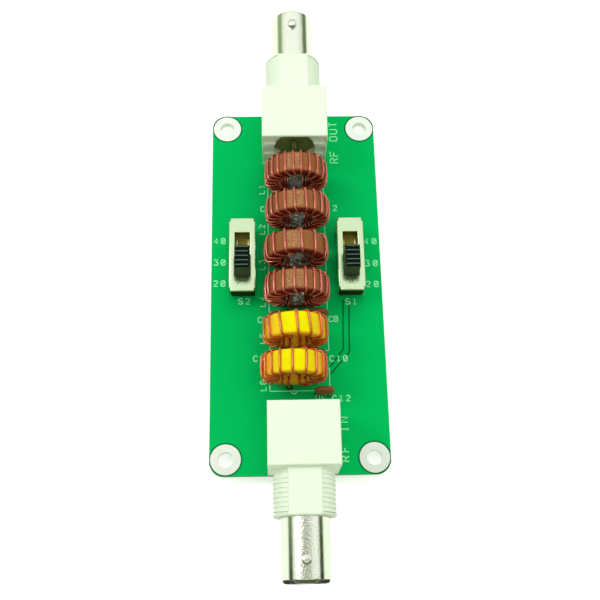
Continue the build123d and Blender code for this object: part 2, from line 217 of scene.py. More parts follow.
def mesh_of(shape, name):
    """Turns a bmesh into a mesh and frees it."""
    mesh = bpy.data.meshes.new(name)
    shape.to_mesh(mesh)
    shape.free()
    return mesh


def merged(node):
    """A CAD node's loose triangles, joined into one surface."""
    shape = bmesh.new()
    shape.from_mesh(nodes[node].data)
    bmesh.ops.remove_doubles(shape, verts=shape.verts, dist=TOUCHING)
    return shape


def paint(piece, material):
    piece.data.materials.clear()
    piece.data.materials.append(material)


def finish_piece(piece, material, body=MODULE, stands_for=()):
    """Gives a piece its material and body, and hides the CAD nodes it stands for."""
    if material is not None:
        paint(piece, material)
    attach(piece, body)
    if stands_for:
        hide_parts(*stands_for)


def smooth_shade(mesh, degrees=SHARP):
    for face in mesh.polygons:
        face.use_smooth = True
    mesh.set_sharp_from_angle(angle=math.radians(degrees))


def evaluated_mesh(made):
    """A plain mesh of what an object's modifiers or curve settings make."""
    graph = bpy.context.evaluated_depsgraph_get()
    graph.update()
    return bpy.data.meshes.new_from_object(made.evaluated_get(graph))


def bake(piece, degrees=SHARP):
    """Turns a piece's modifiers into plain mesh."""
    made = evaluated_mesh(piece)
    piece.modifiers.clear()
    piece.data = made
    smooth_shade(made, degrees)


def copy_of(node, name, keep=None):
    """A merged copy of a CAD node, with flat faces made whole. keep tells which faces stay."""
    shape = merged(node)
    if keep is not None:
        away = [face for face in shape.faces if not keep(face.calc_center_median())]
        bmesh.ops.delete(shape, geom=away, context="FACES")
    bmesh.ops.dissolve_limit(
        shape, angle_limit=math.radians(0.5), verts=shape.verts, edges=shape.edges, delimit={"NORMAL"}
    )
    return new_object(name, mesh_of(shape, name))


def soften(piece, width, segments=2):
    """Rounds a piece's sharp edges."""
    bevel = piece.modifiers.new("Soft edges", "BEVEL")
    bevel.width = width
    bevel.segments = segments
    bevel.limit_method = "ANGLE"
    bevel.angle_limit = math.radians(SHARP)
    bevel.use_clamp_overlap = True
    bake(piece)


def turned_mesh(name, profile, segments, place):
    """Spins a closed (radius, height) profile about local Z."""
    shape = bmesh.new()
    rings = []
    for step in range(segments):
        angle = 2 * math.pi * step / segments
        rings.append([
            shape.verts.new((radius * math.cos(angle), radius * math.sin(angle), height))
            for radius, height in profile
        ])
    for ring, beside in zip(rings, rings[1:] + rings[:1]):
        for row in range(len(profile)):
            after = (row + 1) % len(profile)
            shape.faces.new((ring[row], beside[row], beside[after], ring[after]))
    bmesh.ops.recalc_face_normals(shape, faces=shape.faces)
    shape.transform(place)
    return mesh_of(shape, name)


def rounded(corners, radius, steps):
    """The corners of a closed outline, each turned into an arc."""
    outline = []
    count = len(corners)
    for number, corner in enumerate(corners):
        before = Vector(corners[number - 1]) - Vector(corner)
        after = Vector(corners[(number + 1) % count]) - Vector(corner)
        reach = min(radius, before.length / 2.01, after.length / 2.01)
        start = Vector(corner) + before.normalized() * reach
        end = Vector(corner) + after.normalized() * reach
        for step in range(steps + 1):
            part = step / steps
            first = start.lerp(Vector(corner), part)
            second = Vector(corner).lerp(end, part)
            outline.append(tuple(first.lerp(second, part)))
    return outline


def along(origin, direction):
    """A place whose local Z runs along a level direction and whose local X points up."""
    z_axis = Vector(direction).normalized()
    x_axis = Vector((0, 0, 1))
    y_axis = z_axis.cross(x_axis)
    turn = Matrix((x_axis, y_axis, z_axis)).transposed().to_4x4()
    return Matrix.Translation(origin) @ turn


def line_mesh(name, lines):
    """Open polylines as loose edges, ready for a ribbon."""
    mesh = bpy.data.meshes.new(name)
    points = [point for line in lines for point in line]
    edges = []
    start = 0
    for line in lines:
        edges += [(start + step, start + step + 1) for step in range(len(line) - 1)]
        start += len(line)
    mesh.from_pydata(points, edges, [])
    return mesh


def wire_mesh(name, points, radius):
    """A round wire on a smooth curve with these control points."""
    curve = bpy.data.curves.new(name, "CURVE")
    curve.dimensions = "3D"
    curve.bevel_depth = radius
    curve.bevel_resolution = 3
    curve.use_fill_caps = True
    line = curve.splines.new("NURBS")
    line.points.add(len(points) - 1)
    for target, point in zip(line.points, points):
        target.co = (*point, 1)
    line.order_u = 3
    line.use_endpoint_u = True
    line.resolution_u = 4
    drawn = new_object(name, curve)
    mesh = evaluated_mesh(drawn)
    bpy.data.objects.remove(drawn)
    smooth_shade(mesh, 60)
    return mesh


# Node trees

def feed(tree, socket, value):
    """Links another socket to this one, or sets its own value."""
    if isinstance(value, bpy.types.NodeSocket):
        tree.links.new(value, socket)
    else:
        socket.default_value = value


def add(tree, kind, inputs=None, **settings):
    """A node with its settings and its inputs, each a socket to link or a plain value."""
    made = tree.nodes.new(kind)
    for key, value in settings.items():
        setattr(made, key, value)
    for key, value in (inputs or {}).items():
        feed(tree, made.inputs[key], value)
    return made


def work_out(tree, operation, *values, clamp=False):
    """The result of a Math node. Each value is a socket or a number."""
    made = add(tree, "ShaderNodeMath", dict(enumerate(values)), operation=operation, use_clamp=clamp)
    return made.outputs[0]


def new_tree(name, kind, inputs, outputs):
    """A tree with named inputs (name, socket type, default) and outputs (name, socket type)."""
    tree = bpy.data.node_groups.new(name, kind)
    for label, socket_type, default in inputs:
        socket = tree.interface.new_socket(label, in_out="INPUT", socket_type=socket_type)
        if default is not None:
            socket.default_value = default
    for label, socket_type in outputs:
        tree.interface.new_socket(label, in_out="OUTPUT", socket_type=socket_type)
    return tree, add(tree, "NodeGroupInput").outputs


# Geometry Nodes

def geometry_tree(name, inputs):
    shape = ("Geometry", "NodeSocketGeometry")
    return new_tree(name, "GeometryNodeTree", [(*shape, None), *inputs], [shape])


def close_tree(tree, source, material):
    """Ends a tree in Realize Instances and Set Material."""
    real = add(tree, "GeometryNodeRealizeInstances", {"Geometry": source})
    painted = add(tree, "GeometryNodeSetMaterial", {"Geometry": real.outputs[0], "Material": material})
    add(tree, "NodeGroupOutput", {"Geometry": painted.outputs[0]})
    return tree


def run_tree(piece, tree, degrees=SHARP, **values):
    """Puts a tree on a piece with these inputs, by socket identifier, and bakes it."""
    modifier = piece.modifiers.new(tree.name, "NODES")
    modifier.node_group = tree
    for item in tree.interface.items_tree:
        if item.in_out == "INPUT" and item.name in values:
            modifier[item.identifier] = values[item.name]
    bake(piece, degrees)


def sweep(tree, path, section):
    """A section swept along a path with its ends closed, kept level."""
    level = add(tree, "GeometryNodeSetCurveNormal", {"Curve": path}, mode="Z_UP")
    swept = add(tree, "GeometryNodeCurveToMesh", {
        "Curve": level.outputs[0], "Profile Curve": section, "Fill Caps": True,
    })
    return swept.outputs[0]


def ribbon_tree():
    """Flat ribbons along loose edges, lying on the board."""
    tree, given = geometry_tree("Printed ribbon", [
        ("Width", FLOAT, 0.2 * MM),
        ("Depth", FLOAT, 0.02 * MM),
        ("Material", MATERIAL, None),
    ])
    curve = add(tree, "GeometryNodeMeshToCurve", {"Mesh": given["Geometry"]})
    section = add(tree, "GeometryNodeCurvePrimitiveQuadrilateral", {
        "Width": given["Width"], "Height": given["Depth"],
    })
    ribbon = sweep(tree, curve.outputs[0], section.outputs[0])
    return close_tree(tree, ribbon, given["Material"])


def scatter_tree():
    """One shape set at every point, scaled by the point's own size."""
    tree, given = geometry_tree("Set at points", [
        ("Shape", "NodeSocketObject", None),
        ("Material", MATERIAL, None),
    ])
    shape = add(tree, "GeometryNodeObjectInfo", {"Object": given["Shape"], "As Instance": True})
    size = add(tree, "GeometryNodeInputNamedAttribute", {"Name": "size"}, data_type="FLOAT")
    placed = add(tree, "GeometryNodeInstanceOnPoints", {
        "Points": given["Geometry"],
        "Instance": shape.outputs["Geometry"],
        "Scale": size.outputs["Attribute"],
    })
    return close_tree(tree, placed.outputs[0], given["Material"])


def thread_tree():
    """A helical ridge round local Z, cut off just under a flat, joined to the given bushing.

    Foot and Crest are the ridge's widths at its root and top, as shares of the pitch.
    """
    tree, given = geometry_tree("Thread", [
        ("Start", FLOAT, 0.5 * MM),
        ("Length", FLOAT, 8.0 * MM),
        ("Root", FLOAT, 5.8 * MM),
        ("Ridge", FLOAT, 0.5 * MM),
        ("Pitch", FLOAT, 0.9 * MM),
        ("Foot", FLOAT, 0.9),
        ("Crest", FLOAT, 0.2),
        ("Flat", FLOAT, 5.4 * MM),
        ("Material", MATERIAL, None),
    ])
    spiral = add(tree, "GeometryNodeCurveSpiral", {
        "Resolution": 72,
        "Rotations": work_out(tree, "DIVIDE", given["Length"], given["Pitch"]),
        "Start Radius": given["Root"],
        "End Radius": given["Root"],
        "Height": given["Length"],
    })
    section = add(tree, "GeometryNodeCurvePrimitiveQuadrilateral", {
        "Height": given["Ridge"],
        "Bottom Width": work_out(tree, "MULTIPLY", given["Pitch"], given["Foot"]),
        "Top Width": work_out(tree, "MULTIPLY", given["Pitch"], given["Crest"]),
        "Offset": 0.0,
    }, mode="TRAPEZOID")
    ridge = sweep(tree, spiral.outputs[0], section.outputs[0])
    place = add(tree, "GeometryNodeInputPosition")
    parts = add(tree, "ShaderNodeSeparateXYZ", {0: place.outputs[0]}).outputs
    together = add(tree, "ShaderNodeCombineXYZ", {
        "X": work_out(tree, "MINIMUM", parts["X"], given["Flat"]),
        "Y": parts["Y"],
        "Z": work_out(tree, "ADD", parts["Z"], given["Start"]),
    })
    trimmed = add(tree, "GeometryNodeSetPosition", {"Geometry": ridge, "Position": together.outputs[0]})
    joined = add(tree, "GeometryNodeJoinGeometry", {0: trimmed.outputs[0]})
    tree.links.new(given["Geometry"], joined.inputs[0])
    return close_tree(tree, joined.outputs[0], given["Material"])


def ridge_tree():
    """A row of finger ridges across a knob's top, along Y from the origin."""
    tree, given = geometry_tree("Finger ridges", [
        ("Count", "NodeSocketInt", 5),
        ("Pitch", FLOAT, 0.95 * MM),
        ("Width", FLOAT, 0.4 * MM),
        ("Length", FLOAT, 3.0 * MM),
        ("Height", FLOAT, 0.3 * MM),
        ("Material", MATERIAL, None),
    ])
    step = add(tree, "ShaderNodeCombineXYZ", {"Y": given["Pitch"]})
    row = add(tree, "GeometryNodeMeshLine", {"Count": given["Count"], "Offset": step.outputs[0]})
    size = add(tree, "ShaderNodeCombineXYZ", {
        "X": given["Length"], "Y": given["Width"], "Z": given["Height"],
    })
    bar = add(tree, "GeometryNodeMeshCube", {"Size": size.outputs[0]})
    placed = add(tree, "GeometryNodeInstanceOnPoints", {
        "Points": row.outputs[0], "Instance": bar.outputs[0],
    })
    return close_tree(tree, placed.outputs[0], given["Material"])


# Shader groups

def shader_group(name, inputs, outputs):
    return new_tree(
        name, "ShaderNodeTree",
        [(label, FLOAT, default) for label, default in inputs.items()],
        [(label, FLOAT) for label in outputs],
    )


def noise(tree, per_mm, **inputs):
    """Noise over a piece's own place, with its features counted per millimetre."""
    place = add(tree, "ShaderNodeTexCoord")
    in_mm = add(tree, "ShaderNodeVectorMath", {
        0: place.outputs["Object"], "Scale": 1 / MM,
    }, operation="SCALE")
    made = add(tree, "ShaderNodeTexNoise", {"Vector": in_mm.outputs[0], "Scale": per_mm, **inputs})
    return made.outputs[0]


def facing(tree, way):
    """How far a surface faces along one of the piece's axes."""
    surface = add(tree, "ShaderNodeTexCoord")
    return add(tree, "ShaderNodeSeparateXYZ", {0: surface.outputs["Normal"]}).outputs[way]


def grain_group():
    """Fine grain on a surface: a height for a bump, and a soft mask for its colour and gloss."""
    name = "Surface grain"
    if name in bpy.data.node_groups:
        return bpy.data.node_groups[name]
    tree, given = shader_group(
        name, {"Grain per mm": 4.0, "Blotch per mm": 0.3, "Contrast": 1.0}, ("Height", "Mask")
    )
    fine = noise(tree, given["Grain per mm"], Detail=3.0, Roughness=0.55)
    broad = noise(tree, given["Blotch per mm"], Detail=2.0, Roughness=0.5)
    centred = work_out(tree, "SUBTRACT", broad, 0.5)
    strong = work_out(tree, "MULTIPLY", centred, given["Contrast"])
    mask = work_out(tree, "ADD", strong, 0.5, clamp=True)
    add(tree, "NodeGroupOutput", {"Height": fine, "Mask": mask})
    return tree


def level_group():
    """How far a surface lies level, from 0 on an upright wall to 1 on a flat top or underside."""
    name = "Level mask"
    if name in bpy.data.node_groups:
        return bpy.data.node_groups[name]
    tree, given = shader_group(name, {"Softness": 0.2}, ("Mask",))
    flat = work_out(tree, "ABSOLUTE", facing(tree, "Z"))
    away = work_out(tree, "SUBTRACT", flat, 0.5)
    scaled = work_out(tree, "DIVIDE", away, given["Softness"])
    mask = work_out(tree, "ADD", scaled, 0.5, clamp=True)
    add(tree, "NodeGroupOutput", {"Mask": mask})
    return tree


# Materials

def shade(tree, one, other, mask):
    """Mixes two colours by a mask. Each colour is an RGB triple or a socket."""
    first, second = [
        value if isinstance(value, bpy.types.NodeSocket) else (*value, 1) for value in (one, other)
    ]
    return add(tree, "ShaderNodeMix", {0: mask, 6: first, 7: second}, data_type="RGBA").outputs[2]


def blend_values(tree, one, other, mask):
    """Mixes two values by a mask."""
    return add(tree, "ShaderNodeMix", {0: mask, 2: one, 3: other}, data_type="FLOAT").outputs[0]


def span(tree, source, low=0.0, high=1.0, start=0.0, end=1.0, smooth=False):
    """A value's range from start to end, spread from low to high."""
    made = add(tree, "ShaderNodeMapRange", {
        "Value": source, "From Min": start, "From Max": end, "To Min": low, "To Max": high,
    }, interpolation_type="SMOOTHSTEP" if smooth else "LINEAR")
    return made.outputs[0]


def weight(tree, name):
    """A weight that the piece's own points carry."""
    return add(tree, "ShaderNodeAttribute", attribute_name=name).outputs["Fac"]


def shader_of(material):
    return material.node_tree.nodes["Principled BSDF"].inputs


def plain_material(name):
    material = bpy.data.materials.new(name)
    material.use_nodes = True
    return material


def finish(name, base, metallic=0.0, roughness=(0.4, 0.5), grain=4.0, blotch=0.3, bump=0.1,
           bump_size=0.02, tint=0.85, coat=0.0, coat_roughness=0.1, subsurface=0.0, specular=0.5):
    """A finish with grain in its surface and slight changes in its colour and gloss. Sizes in mm."""
    material = plain_material(name)
    tree = material.node_tree
    texture = add(tree, "ShaderNodeGroup", {
        "Grain per mm": grain, "Blotch per mm": blotch,
    }, node_tree=grain_group())
    darker = [value * tint for value in base]
    raised = add(tree, "ShaderNodeBump", {
        "Height": texture.outputs["Height"], "Strength": bump, "Distance": bump_size * MM,
    })
    values = {
        "Base Color": shade(tree, darker, base, texture.outputs["Mask"]),
        "Roughness": span(tree, texture.outputs["Mask"], *roughness),
        "Normal": raised.outputs[0],
        "Metallic": metallic,
        "Specular IOR Level": specular,
        "Coat Weight": coat,
        "Coat Roughness": coat_roughness,
    }
    if subsurface:
        values["Subsurface Weight"] = subsurface
        values["Subsurface Radius"] = (1.0 * MM, 1.0 * MM, 0.8 * MM)
        values["Subsurface Scale"] = 1.0
    for key, value in values.items():
        feed(tree, shader_of(material)[key], value)
    return material


def overlay(material, mask, low=None, high=None):
    """Mixes a finish's colour with another: low shows where the mask is 0, high where it is 1."""
    tree = material.node_tree
    target = shader_of(material)["Base Color"]
    own = target.links[0].from_socket
    mixed = shade(tree, own if low is None else low, own if high is None else high, mask)
    tree.links.new(mixed, target)


def show_level(material, rgb):
    """Gives a finish another colour on its upright walls."""
    level = add(material.node_tree, "ShaderNodeGroup", node_tree=level_group())
    overlay(material, level.outputs[0], low=rgb)


def solder_mask(look):
    """Green solder mask on the faces, and the cut edge of the board between them."""
    made = finish("board solder mask", look.mask, roughness=(0.4, 0.5), grain=1.6, blotch=0.06,
                  bump=0.15, tint=0.94, specular=0.02)
    show_level(made, look.edge)
    return made


def moulding(look):
    return finish("jack moulding", look.plastic, roughness=(0.45, 0.55), grain=3.0, blotch=0.12,
                  bump=0.12, tint=0.97, specular=0.25)


def plating(look):
    """Bright nickel, scuffed along its top."""
    dull = look.metal_roughness
    made = finish("jack plating", look.metal, metallic=1.0, roughness=(dull * 0.7, dull * 1.4), grain=2.6,
                  blotch=0.5, bump=look.scuff, bump_size=0.11, tint=0.92)
    tree = made.node_tree
    relief = shader_of(made)["Normal"].links[0].from_node
    crown = span(tree, facing(tree, "Z"), 0.06, look.scuff, 0.82, 0.97)
    feed(tree, relief.inputs["Strength"], crown)
    return made


def tinned(name="bright tin", rgb=(0.86, 0.87, 0.84), roughness=(0.25, 0.4)):
    return finish(name, rgb, metallic=1.0, roughness=roughness, grain=2.0, blotch=0.4, bump=0.2,
                  bump_size=0.03, tint=0.93)


def cover_plate(look):
    """Satin plated sheet with a fine speckle, and a painted reflection of the knob: a dark speckled patch
    round the piece's own spot.
    """
    made = finish("switch cover plate", look.cover, metallic=0.92, roughness=(0.16, 0.26), grain=4.5,
                  blotch=3.5, bump=0.5, bump_size=0.03, tint=0.88)
    tree = made.node_tree
    surface = add(tree, "ShaderNodeTexCoord")
    spot = add(tree, "ShaderNodeAttribute", attribute_name="painted_reflection")
    away = add(tree, "ShaderNodeVectorMath", {
        0: surface.outputs["Object"], 1: spot.outputs["Vector"],
    }, operation="SUBTRACT")
    parts = add(tree, "ShaderNodeSeparateXYZ", {0: away.outputs[0]})
    sides = []
    for way, reach in (("X", 1.8 * MM), ("Y", 1.45 * MM)):
        far = work_out(tree, "ABSOLUTE", parts.outputs[way])
        sides.append(span(tree, far, start=reach, end=reach * 0.5))
    patch = work_out(tree, "MULTIPLY", *sides)
    speckle = span(tree, noise(tree, 3.2, Detail=3.0), start=0.36, end=0.58)
    overlay(made, work_out(tree, "MULTIPLY", patch, speckle), high=look.painted_reflection)
    return made


def knob_black(look):
    """Black moulding, with painted light making its upright sides paler."""
    made = finish("switch knob", look.knob, roughness=(0.4, 0.55), grain=2.5, blotch=0.6, bump=0.2,
                  tint=0.75, specular=0.03)
    show_level(made, look.painted_side_light)
    return made


def core_coating(name, rgb, side_shade, way, near, far):
    """A powder coat with painted shade: it turns deeper as its surface turns away, and in the bore."""
    made = finish(name, rgb, roughness=(0.4, 0.55), grain=3.2, blotch=0.7, bump=0.3, bump_size=0.05,
                  tint=0.84, specular=0.03)
    tree = made.node_tree
    sideways = work_out(tree, "ABSOLUTE", facing(tree, way))
    turned = span(tree, sideways, start=near, end=far)
    overlay(made, work_out(tree, "MAXIMUM", turned, weight(tree, "bore")), high=side_shade)
    return made


def red_core(look):
    """Red-brown coating with a rubbed pale stamp on top and painted shade on its flat sides, and dark
    lacquered iron in the bore, with pale streaks painted on as glints.
    """
    made = core_coating("red core coating", look.iron_red, look.side_shade, "Y", 0.3, 0.85)
    tree = made.node_tree
    shader = shader_of(made)
    rubbed = span(tree, noise(tree, 4.2, Detail=3.0), start=0.45, end=0.66)
    overlay(made, work_out(tree, "MULTIPLY", weight(tree, "stamp"), rubbed), high=look.stamp)
    # Painted highlight: pale streaks mixed into the bore's colour as glints
    streaks = span(tree, noise(tree, 1.3, Detail=2.0, Distortion=1.2), start=0.53, end=0.63)
    bore = weight(tree, "bore")
    overlay(made, bore, high=shade(tree, look.bare_iron, look.lacquer, streaks))
    dull = shader["Roughness"].links[0].from_socket
    feed(tree, shader["Roughness"], blend_values(tree, dull, 0.12, bore))
    feed(tree, shader["Coat Weight"], work_out(tree, "MULTIPLY", bore, 0.8))
    relief = shader["Normal"].links[0].from_node.inputs
    feed(tree, relief["Strength"], 0.8)
    feed(tree, relief["Distance"], span(tree, bore, 0.02 * MM, 0.35 * MM))
    return made


def yellow_core(look):
    """Bright yellow coating, with painted shade: orange away from the crown and in the bore."""
    return core_coating("yellow core coating", look.iron_yellow, look.side_shade_yellow, "Z", 0.95, 0.55)


def enamel(name, rgb, coat):
    """Copper wire seen through thick glossy coloured enamel."""
    made = finish(name, rgb, metallic=0.6, roughness=(0.14, 0.24), grain=1.5, blotch=0.5, bump=0.15,
                  bump_size=0.02, tint=0.6, coat=coat, coat_roughness=0.12, specular=0.2)
    shader_of(made)["Coat IOR"].default_value = 1.9
    return made


def dipped():
    return finish("capacitor dip", (0.28, 0.085, 0.022), roughness=(0.3, 0.45), grain=1.1, blotch=0.5,
                  bump=0.4, bump_size=0.06, tint=0.6, coat=0.1, specular=0.2)


def flat_paint(name, rgb, roughness):
    return finish(name, rgb, roughness=(roughness, roughness + 0.08), grain=5.0, bump=0.2, tint=0.93,
                  specular=0.05)


def phenolic(name, rgb, tint):
    return finish(name, rgb, roughness=(0.45, 0.6), grain=3.0, blotch=0.5, bump=0.25, tint=tint,
                  specular=0.1)


# Board

GLYPHS = {
    "0": [[(1, 0), (0, 1), (0, 5), (1, 6), (3, 6), (4, 5), (4, 1), (3, 0), (1, 0)], [(0.9, 1.4), (3.1, 4.6)]],
    "1": [[(0.8, 4.8), (2, 6), (2, 0)], [(0.8, 0), (3.2, 0)]],
    "2": [[(0, 5), (1, 6), (3, 6), (4, 5), (4, 4), (0, 0), (4, 0)]],
    "3": [[(0, 6), (4, 6), (2, 3.6), (3, 3.6), (4, 2.6), (4, 1), (3, 0), (1, 0), (0, 1)]],
    "4": [[(3, 0), (3, 6), (0, 2), (4, 2)]],
    "5": [[(4, 6), (0, 6), (0, 3.4), (3, 3.4), (4, 2.4), (4, 1), (3, 0), (1, 0), (0, 1)]],
    "6": [[(4, 5), (3, 6), (1, 6), (0, 5), (0, 1), (1, 0), (3, 0), (4, 1), (4, 2.4), (3, 3.4), (0, 3.4)]],
    "7": [[(0, 6), (4, 6), (1.5, 0)]],
    "8": [[(1, 3.2), (0, 4.1), (0, 5.1), (1, 6), (3, 6), (4, 5.1), (4, 4.1), (3, 3.2), (1, 3.2),
           (0, 2.3), (0, 0.9), (1, 0), (3, 0), (4, 0.9), (4, 2.3), (3, 3.2)]],
    "9": [[(0, 1), (1, 0), (3, 0), (4, 1), (4, 5), (3, 6), (1, 6), (0, 5), (0, 3.6), (1, 2.6), (4, 2.6)]],
    "C": [[(4, 5), (3, 6), (1, 6), (0, 5), (0, 1), (1, 0), (3, 0), (4, 1)]],
    "F": [[(4, 6), (0, 6), (0, 0)], [(0, 3), (3, 3)]],
    "I": [[(1, 6), (3, 6)], [(2, 6), (2, 0)], [(1, 0), (3, 0)]],
    "L": [[(0, 6), (0, 0), (4, 0)]],
    "N": [[(0, 0), (0, 6), (4, 0), (4, 6)]],
    "O": [[(1, 0), (0, 1), (0, 5), (1, 6), (3, 6), (4, 5), (4, 1), (3, 0), (1, 0)]],
    "R": [[(0, 0), (0, 6), (3, 6), (4, 5), (4, 4), (3, 3), (0, 3)], [(2, 3), (4, 0)]],
    "S": [[(4, 5), (3, 6), (1, 6), (0, 5), (0, 4), (1, 3.1), (3, 2.9), (4, 2), (4, 1), (3, 0), (1, 0),
           (0, 1)]],
    "T": [[(0, 6), (4, 6)], [(2, 6), (2, 0)]],
    "U": [[(0, 6), (0, 1), (1, 0), (3, 0), (4, 1), (4, 6)]],
    " ": [],
}

# Printed words: text, centre x and y in mm, letter height, letter pitch, turned a quarter left
LABELS = [
    ("40", -17.2, 10.3, 1.3, 1.65, False), ("30", -17.2, 5.1, 1.3, 1.65, False),
    ("20", -17.2, 0.1, 1.3, 1.65, False), ("S2", -11.7, -4.15, 1.3, 1.6, False),
    ("40", 16.9, 9.95, 1.3, 1.8, False), ("30", 16.9, 4.6, 1.3, 1.8, False),
    ("20", 16.9, -0.4, 1.3, 1.8, False), ("S1", 12.05, -4.45, 1.3, 1.5, False),
    ("C1", -6.9, 18.2, 1.2, 1.1, False), ("C2", 8.3, 18.3, 1.25, 1.7, False),
    ("C7", -7.65, -8.5, 1.2, 1.1, False), ("C8", 7.9, -8.5, 1.2, 1.1, False),
    ("C9", -8.5, -17.3, 1.2, 1.5, False), ("C10", 8.75, -17.5, 1.2, 1.45, False),
    ("C", 5.3, -26.0, 1.0, 0.7, False), ("11", 4.05, -26.1, 1.1, 0.68, False),
    ("C12", 9.0, -26.3, 1.2, 1.46, False),
    ("RF", 9.4, 31.4, 1.75, 1.8, True), ("OUT", 9.4, 38.2, 1.75, 1.9, True),
    ("RF", 9.4, -38.2, 1.6, 2.0, True), ("IN", 9.4, -31.95, 1.6, 2.0, True),
]
COIL_LABELS = {
    "x": -7.6, "places": (23.15, 13.05, 4.45, -4.3, -12.8, -23.3), "height": 1.2, "letter_pitch": 1.4,
}
COIL_FRAMES = {"left": -6.2, "right": 6.67, "first_y": 19.92, "pitch": 8.9, "depth": 4.9}
COIL_NOTCH = {"x": -1.06, "radius": 0.62}
SWITCH_FRAME = {"half_width": 2.9, "shift": 0.35, "low": -7.8, "high": 8.6}

# Gaps beside the copper track from the right switch, as points in mm
TRACK_GAPS = (
    ((10.2, -4.0), (9.85, -15.4), (6.9, -19.3)),
    ((11.5, -4.0), (11.15, -16.1), (7.3, -20.5), (6.9, -20.9)),
)
PAD = {"radius": 3.2 * MM, "gap": 0.14 * MM}
COPPER = {"depth": 0.05 * MM, "below": 0.02 * MM}

# Distances from the board's middle line. Coil leads lie within the first, capacitor leads beyond the
# second and switch leads beyond the third. The last is the row of switch leads nearest the middle.
COIL_LEADS = 2.6 * MM
CAPACITOR_LEADS = 5.5 * MM
SWITCH_LEADS = 9 * MM
SWITCH_ROW = 10.6 * MM


def word_lines(text, x, y, height, pitch, turned):
    """A word's pen strokes, centred on a point of the board."""
    unit = height / 6
    start = -((len(text) - 1) * pitch + 4 * unit) / 2
    lines = []
    for number, letter in enumerate(text):
        for stroke in GLYPHS[letter]:
            flat = [(start + number * pitch + u * unit, (v - 3) * unit) for u, v in stroke]
            if turned:
                flat = [(-v, u) for u, v in flat]
            lines.append([((x + u) * MM, (y + v) * MM) for u, v in flat])
    return lines


def frame_lines(low_x, low_y, high_x, high_y):
    corners = [(low_x, low_y), (high_x, low_y), (high_x, high_y), (low_x, high_y), (low_x, low_y)]
    return [[(x * MM, y * MM) for x, y in corners]]


def arc(x, y, radius, swing, steps):
    """Points round a centre, from its right side through an angle."""
    angles = [swing * step / steps for step in range(steps + 1)]
    return [(x + radius * math.cos(angle), y + radius * math.sin(angle)) for angle in angles]


def print_lines():
    """The printed words, and round each coil a frame with a small bow at its lead."""
    lines = []
    for label in LABELS:
        lines += word_lines(*label)
    for number in COILS:
        lines += word_lines(f"L{number}", COIL_LABELS["x"], COIL_LABELS["places"][number - 1],
                            COIL_LABELS["height"], COIL_LABELS["letter_pitch"], True)
        low = COIL_FRAMES["first_y"] - (number - 1) * COIL_FRAMES["pitch"]
        lines += frame_lines(COIL_FRAMES["left"], low, COIL_FRAMES["right"], low + COIL_FRAMES["depth"])
        bow = arc(COIL_NOTCH["x"], low, COIL_NOTCH["radius"], -math.pi, 8)
        lines.append([(x * MM, y * MM) for x, y in bow])
    return lines


def switch_lines():
    """The thin printed outline round each switch."""
    lines = []
    for side in SWITCHES:
        low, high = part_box(f"{side}_switch_cover")
        x = (low.x + high.x) / 2 / MM + SWITCH_FRAME["shift"]
        y = (low.y + high.y) / 2 / MM
        half = SWITCH_FRAME["half_width"]
        lines += frame_lines(x - half, y + SWITCH_FRAME["low"], x + half, y + SWITCH_FRAME["high"])
    return lines


def gap_lines(width):
    """Gaps in the copper beside a track and round the four corner pads, kept on the board."""
    lines = [[(x * MM, y * MM) for x, y in line] for line in TRACK_GAPS]
    low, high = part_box("mounting_hole_plating")
    radius = PAD["radius"]
    left = board_low.x + width / 2
    right = board_high.x - width / 2
    for x in (low.x + radius, high.x - radius):
        for y in (low.y + radius, high.y - radius):
            ring = arc(x, y, radius + PAD["gap"], 2 * math.pi, 48)
            lines.append([(min(max(u, left), right), v) for u, v in ring])
    return lines


def lead_points():
    """Every lead's place on the underside: islands of the solder node, with their radius."""
    shape = merged("solder_joints")
    left = set(shape.verts)
    found = []
    while left:
        stack = [left.pop()]
        island = []
        while stack:
            vert = stack.pop()
            island.append(vert.co.copy())
            for edge in vert.link_edges:
                other = edge.other_vert(vert)
                if other in left:
                    left.remove(other)
                    stack.append(other)
        xs = [point.x for point in island]
        ys = [point.y for point in island]
        found.append(((min(xs) + max(xs)) / 2, (min(ys) + max(ys)) / 2, (max(xs) - min(xs)) / 2))
    shape.free()
    return sorted(found)


def track_lines(leads):
    """Copper tracks under the board: down the row of coils, and from the switches to the capacitors."""
    points = [lead[:2] for lead in leads]
    centre = [point for point in points if abs(point[0]) < COIL_LEADS]
    centre.sort(key=lambda point: point[1])
    lines = [centre[start:start + 2] for start in range(0, len(centre) - 1, 2)]
    outer = [point for point in points if abs(point[0]) > SWITCH_LEADS]
    inner = [point for point in points if CAPACITOR_LEADS < abs(point[0]) < SWITCH_LEADS]
    for x, y in inner:
        same_side = [point for point in outer if point[0] * x > 0]
        near = min(same_side, key=lambda point: abs(point[1] - y) + abs(abs(point[0]) - SWITCH_ROW))
        lines.append([(x, y), (near[0], y), near])
    return lines


